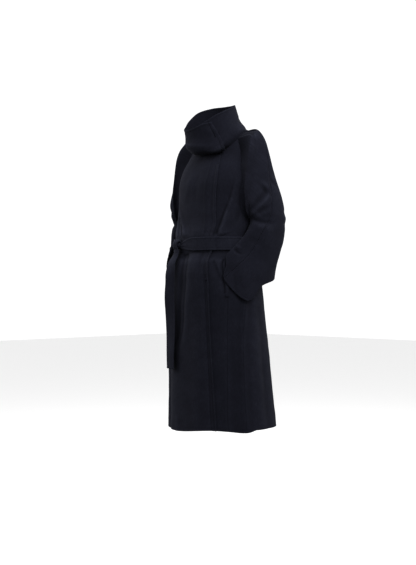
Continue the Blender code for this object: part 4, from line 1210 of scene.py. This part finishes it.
def makeBeltBand():
    start, end = belt["knotAngle"] + belt["endAngle"], belt["knotAngle"] + 360 - belt["endAngle"]
    angles = start + (end - start) * shares((end - start) * body["degree"], step)
    ring, outward, _ = surfaceFrame(angles, np.full(len(angles), body["beltHeight"]))
    along = np.minimum(angles - start, end - angles) * body["degree"]
    half = curve(belt["pinch"], along)
    pinch = 1 - (half - half.min()) / (half.max() - half.min())
    lift = cloth["layer"] * beltLevel(angles) + belt["lift"]
    across = -1 + 2 * beltPlaces
    rows = []
    for place in across:
        row = ring + outward * lift[:, None]
        # gathered into soft pleats where it runs into the knot, and a little uneven all round
        pleat = belt["pleats"] * pinch * (1 - pinch * 0.3) * np.cos(place * 8.0 + 0.6)
        wave = 0.5 * unevenness(angles * body["degree"], np.full(len(angles), place * half.max()), 21)
        row = row + outward * (pleat + np.abs(wave) + 3.5 * pinch * (1 - place**2))[:, None]
        row[:, 2] += place * half + 0.9 * np.sin(np.radians(angles * 2.0)) - 4.5 * pinch
        rows.append(row)
    points = np.array(rows)
    stitches = stitchRows((angles - start) * body["degree"], belt["width"] * beltPlaces, level=beltRows)
    piece = makeSheet("belt_band_cloth", points, gridNormals(points), belt["cloth"],
                      (beltEdge, beltEdge, softProfile, softProfile), stitches, belt["brushed"])
    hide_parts("belt_band")


def tailRows(table):
    # rows of a hanging tail, from its foot up
    top, foot = table[0][0], table[-1][0]
    heights = foot + (top - foot) * shares(top - foot, step, start=beltMarks)
    table = np.array(table[::-1], float)
    across = beltPlaces - 0.5
    rows = []
    for height in heights:
        angle, lift, width, twist, bow = curveRows(table[:, 0], table[:, 1:], height)
        here, outward, side = surfaceFrame(angle, height)
        turn = math.radians(twist)
        sideways = side * math.cos(turn) + outward * math.sin(turn)
        facing = outward * math.cos(turn) - side * math.sin(turn)
        middle = here + outward * (lift + cloth["layer"] + cloth["thickness"] / 2 + belt["cloth"] / 2)
        sag = bow * (0.4 - (2 * across) ** 2)
        rows.append(middle + sideways * (width * across)[:, None] + facing * sag[:, None])
    return rows, heights - foot


def makeTail(name, node, rows, places):
    points = np.array(rows)
    piece = makeSheet(name, points, gridNormals(points), belt["cloth"],
                      (beltEdge, softProfile, beltEdge, beltEdge),
                      stitchRows(belt["width"] * beltPlaces, places, down=beltRows, level=[belt["stitch"]]),
                      belt["brushed"])
    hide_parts(node)


def makeFrontTail():
    # the tail and its loop over the knot are one strip
    across = beltPlaces - 0.5
    rows, places = tailRows(belt["frontTail"])
    here, outward, side = surfaceFrame(belt["knotAngle"], body["beltHeight"])
    upward = np.array([0, 0, 1.0])
    path = np.array(belt["loop"], float)
    walked = np.concatenate([[0], np.cumsum(np.linalg.norm(np.diff(path[:, :3], axis=0), axis=1))])
    marks = np.linspace(0, walked[-1], 34)[1:]
    table = curveRows(walked, path, marks)
    before = curveRows(walked, path, marks - 0.6)
    for (s, o, u, width, bow), earlier in zip(table, before):
        middle = here + side * s + outward * o + upward * u
        ahead = unit(side * (s - earlier[0]) + outward * (o - earlier[1]) + upward * (u - earlier[2]))
        facing = unit(np.cross(side, ahead))
        sag = bow * (0.4 - (2 * across) ** 2) + 0.7 * np.cos(across * 17)
        rows.append(middle + side * (width * across)[:, None] + facing * sag[:, None])
    places = np.concatenate([places, places[-1] + marks])
    makeTail("belt_tail_front_cloth", "belt_tail_front", rows, places)


def makeRearTail():
    rows, places = tailRows(belt["rearTail"])
    makeTail("belt_tail_rear_cloth", "belt_tail_rear", rows, places)


def makeKnot():
    # the roll of cloth inside the loop, creased where it is pulled tight
    here, outward, side = surfaceFrame(belt["knotAngle"], body["beltHeight"])
    sideways, away, above = belt["knot"]["middle"]
    centre = here + side * sideways + outward * away + np.array([0, 0, above])
    halfWide, halfDeep, halfTall = belt["knot"]["half"]
    bm = bmesh.new()
    bmesh.ops.create_uvsphere(bm, u_segments=96, v_segments=64, radius=1)
    values = []
    for vert in bm.verts:
        x, y, z = vert.co
        around = math.atan2(z, -y)
        crease = 0.05 * math.cos(around * 5 + x * 2.2) * (0.35 + abs(x))
        wide = math.copysign(abs(x) ** 0.9, x) * halfWide
        size = 1 + crease
        vert.co = (centre + side * wide + outward * max(-y, -0.8) * halfDeep * size
                   + np.array([0, 0, z * halfTall * size])) / 1000
        # its tone follows the creases: darker where the cloth is pulled in, as painted shade, and paler on
        # the bulges, as painted highlight, on top of the belt's painted-light lift
        values.append((wide, around * halfTall, belt["brushed"] + crease * 4))
    bmesh.ops.recalc_face_normals(bm, faces=bm.faces[:])
    mesh = bpy.data.meshes.new("belt_knot_cloth")
    bm.to_mesh(mesh)
    bm.free()
    values = np.array(values)
    finishMesh(mesh, values[:, :2] / 1000, {"ridge": values[:, 2], "edge": [cloth["far"]],
                                            "stitchGap": [cloth["far"]], "stitchRun": [0.0]})
    piece = addPiece("belt_knot_cloth", mesh)
    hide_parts("belt_knot")


makeBeltBand()
makeKnot()
makeFrontTail()
makeRearTail()
print("belt made")

# pockets

pocket = {
    "angle": 51.5, "top": -446.0, "foot": -590.0, "width": 15.0,
    "cloth": 1.6, "gap": 1.3,
    "edge": [0, 0.5, 1.2, 2.4],      # rows close to an edge; the last one is sewn
}


def makeWelt(name, node, sign):
    span = pocket["top"] - pocket["foot"]
    heights = pocket["foot"] + span * shares(span, step, pocket["edge"], pocket["edge"])
    across = shares(pocket["width"], 2.0, pocket["edge"], pocket["edge"])
    sewn = pocket["edge"][-1]
    angles = sign * pocket["angle"] + (across - 0.5) * pocket["width"] / body["degree"]
    points = np.array([bodySurface(angles, np.full(len(angles), height)) for height in heights])
    _, outward, _ = surfaceFrame(np.full(len(heights), sign * pocket["angle"]), heights)
    facings = np.repeat(outward[:, None], len(angles), axis=1)
    points = points + facings * (cloth["thickness"] / 2 + pocket["gap"] + pocket["cloth"] / 2)
    piece = makeSheet(name, points, facings, pocket["cloth"], (softProfile,) * 4,
                      stitchRows(across * pocket["width"], heights - pocket["foot"],
                                 down=[sewn, pocket["width"] - sewn]))
    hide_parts(node)


makeWelt("welt_left", "pocket_welt_left", 1)
makeWelt("welt_right", "pocket_welt_right", -1)
print("pocket welts made")

# press stud on the placket, covered in the coat's own cloth

stud = {
    "height": -530.0, "angle": 27.3, "shift": 0.2, "radius": 4.6,
    # half of its section: distance from its middle, height off the coat
    "section": [(0, 2.9), (2.0, 2.75), (3.4, 2.3), (4.3, 1.5), (4.6, 0.6), (4.5, -0.4)],
}


def makeStud():
    here = bodySurface(np.array([stud["angle"]]), np.array([stud["height"]]))[0]
    _, outward, side = surfaceFrame(stud["angle"], stud["height"])
    seat = here + outward * (cloth["layer"] + cloth["thickness"] / 2 + stud["shift"])
    bm = bmesh.new()
    verts = [bm.verts.new((across / 1000, 0, high / 1000)) for across, high in stud["section"]]
    edges = [bm.edges.new(pair) for pair in zip(verts, verts[1:])]
    bmesh.ops.spin(bm, geom=verts + edges, cent=(0, 0, 0), axis=(0, 0, 1), angle=2 * math.pi, steps=48,
                   use_merge=True)
    bmesh.ops.remove_doubles(bm, verts=bm.verts[:], dist=1e-6)
    bmesh.ops.holes_fill(bm, edges=[edge for edge in bm.edges if edge.is_boundary])
    flat = np.array([vert.co[:2] for vert in bm.verts])
    for vert in bm.verts:
        x, y, z = np.array(vert.co) * 1000
        vert.co = (seat + side * x + np.array([0, 0, y]) + outward * z) / 1000
    bmesh.ops.recalc_face_normals(bm, faces=bm.faces[:])
    mesh = bpy.data.meshes.new("press_stud_covered")
    bm.to_mesh(mesh)
    bm.free()
    reach = np.linalg.norm(flat, axis=1) * 1000
    # the stud takes a crease's tone, darker than the cloth round it: painted shade
    finishMesh(mesh, flat, {"ridge": [-0.4], "edge": stud["radius"] - reach,
                            "stitchGap": [cloth["far"]], "stitchRun": [0.0]})
    addPiece("press_stud_covered", mesh)


makeStud()
print("press stud made")
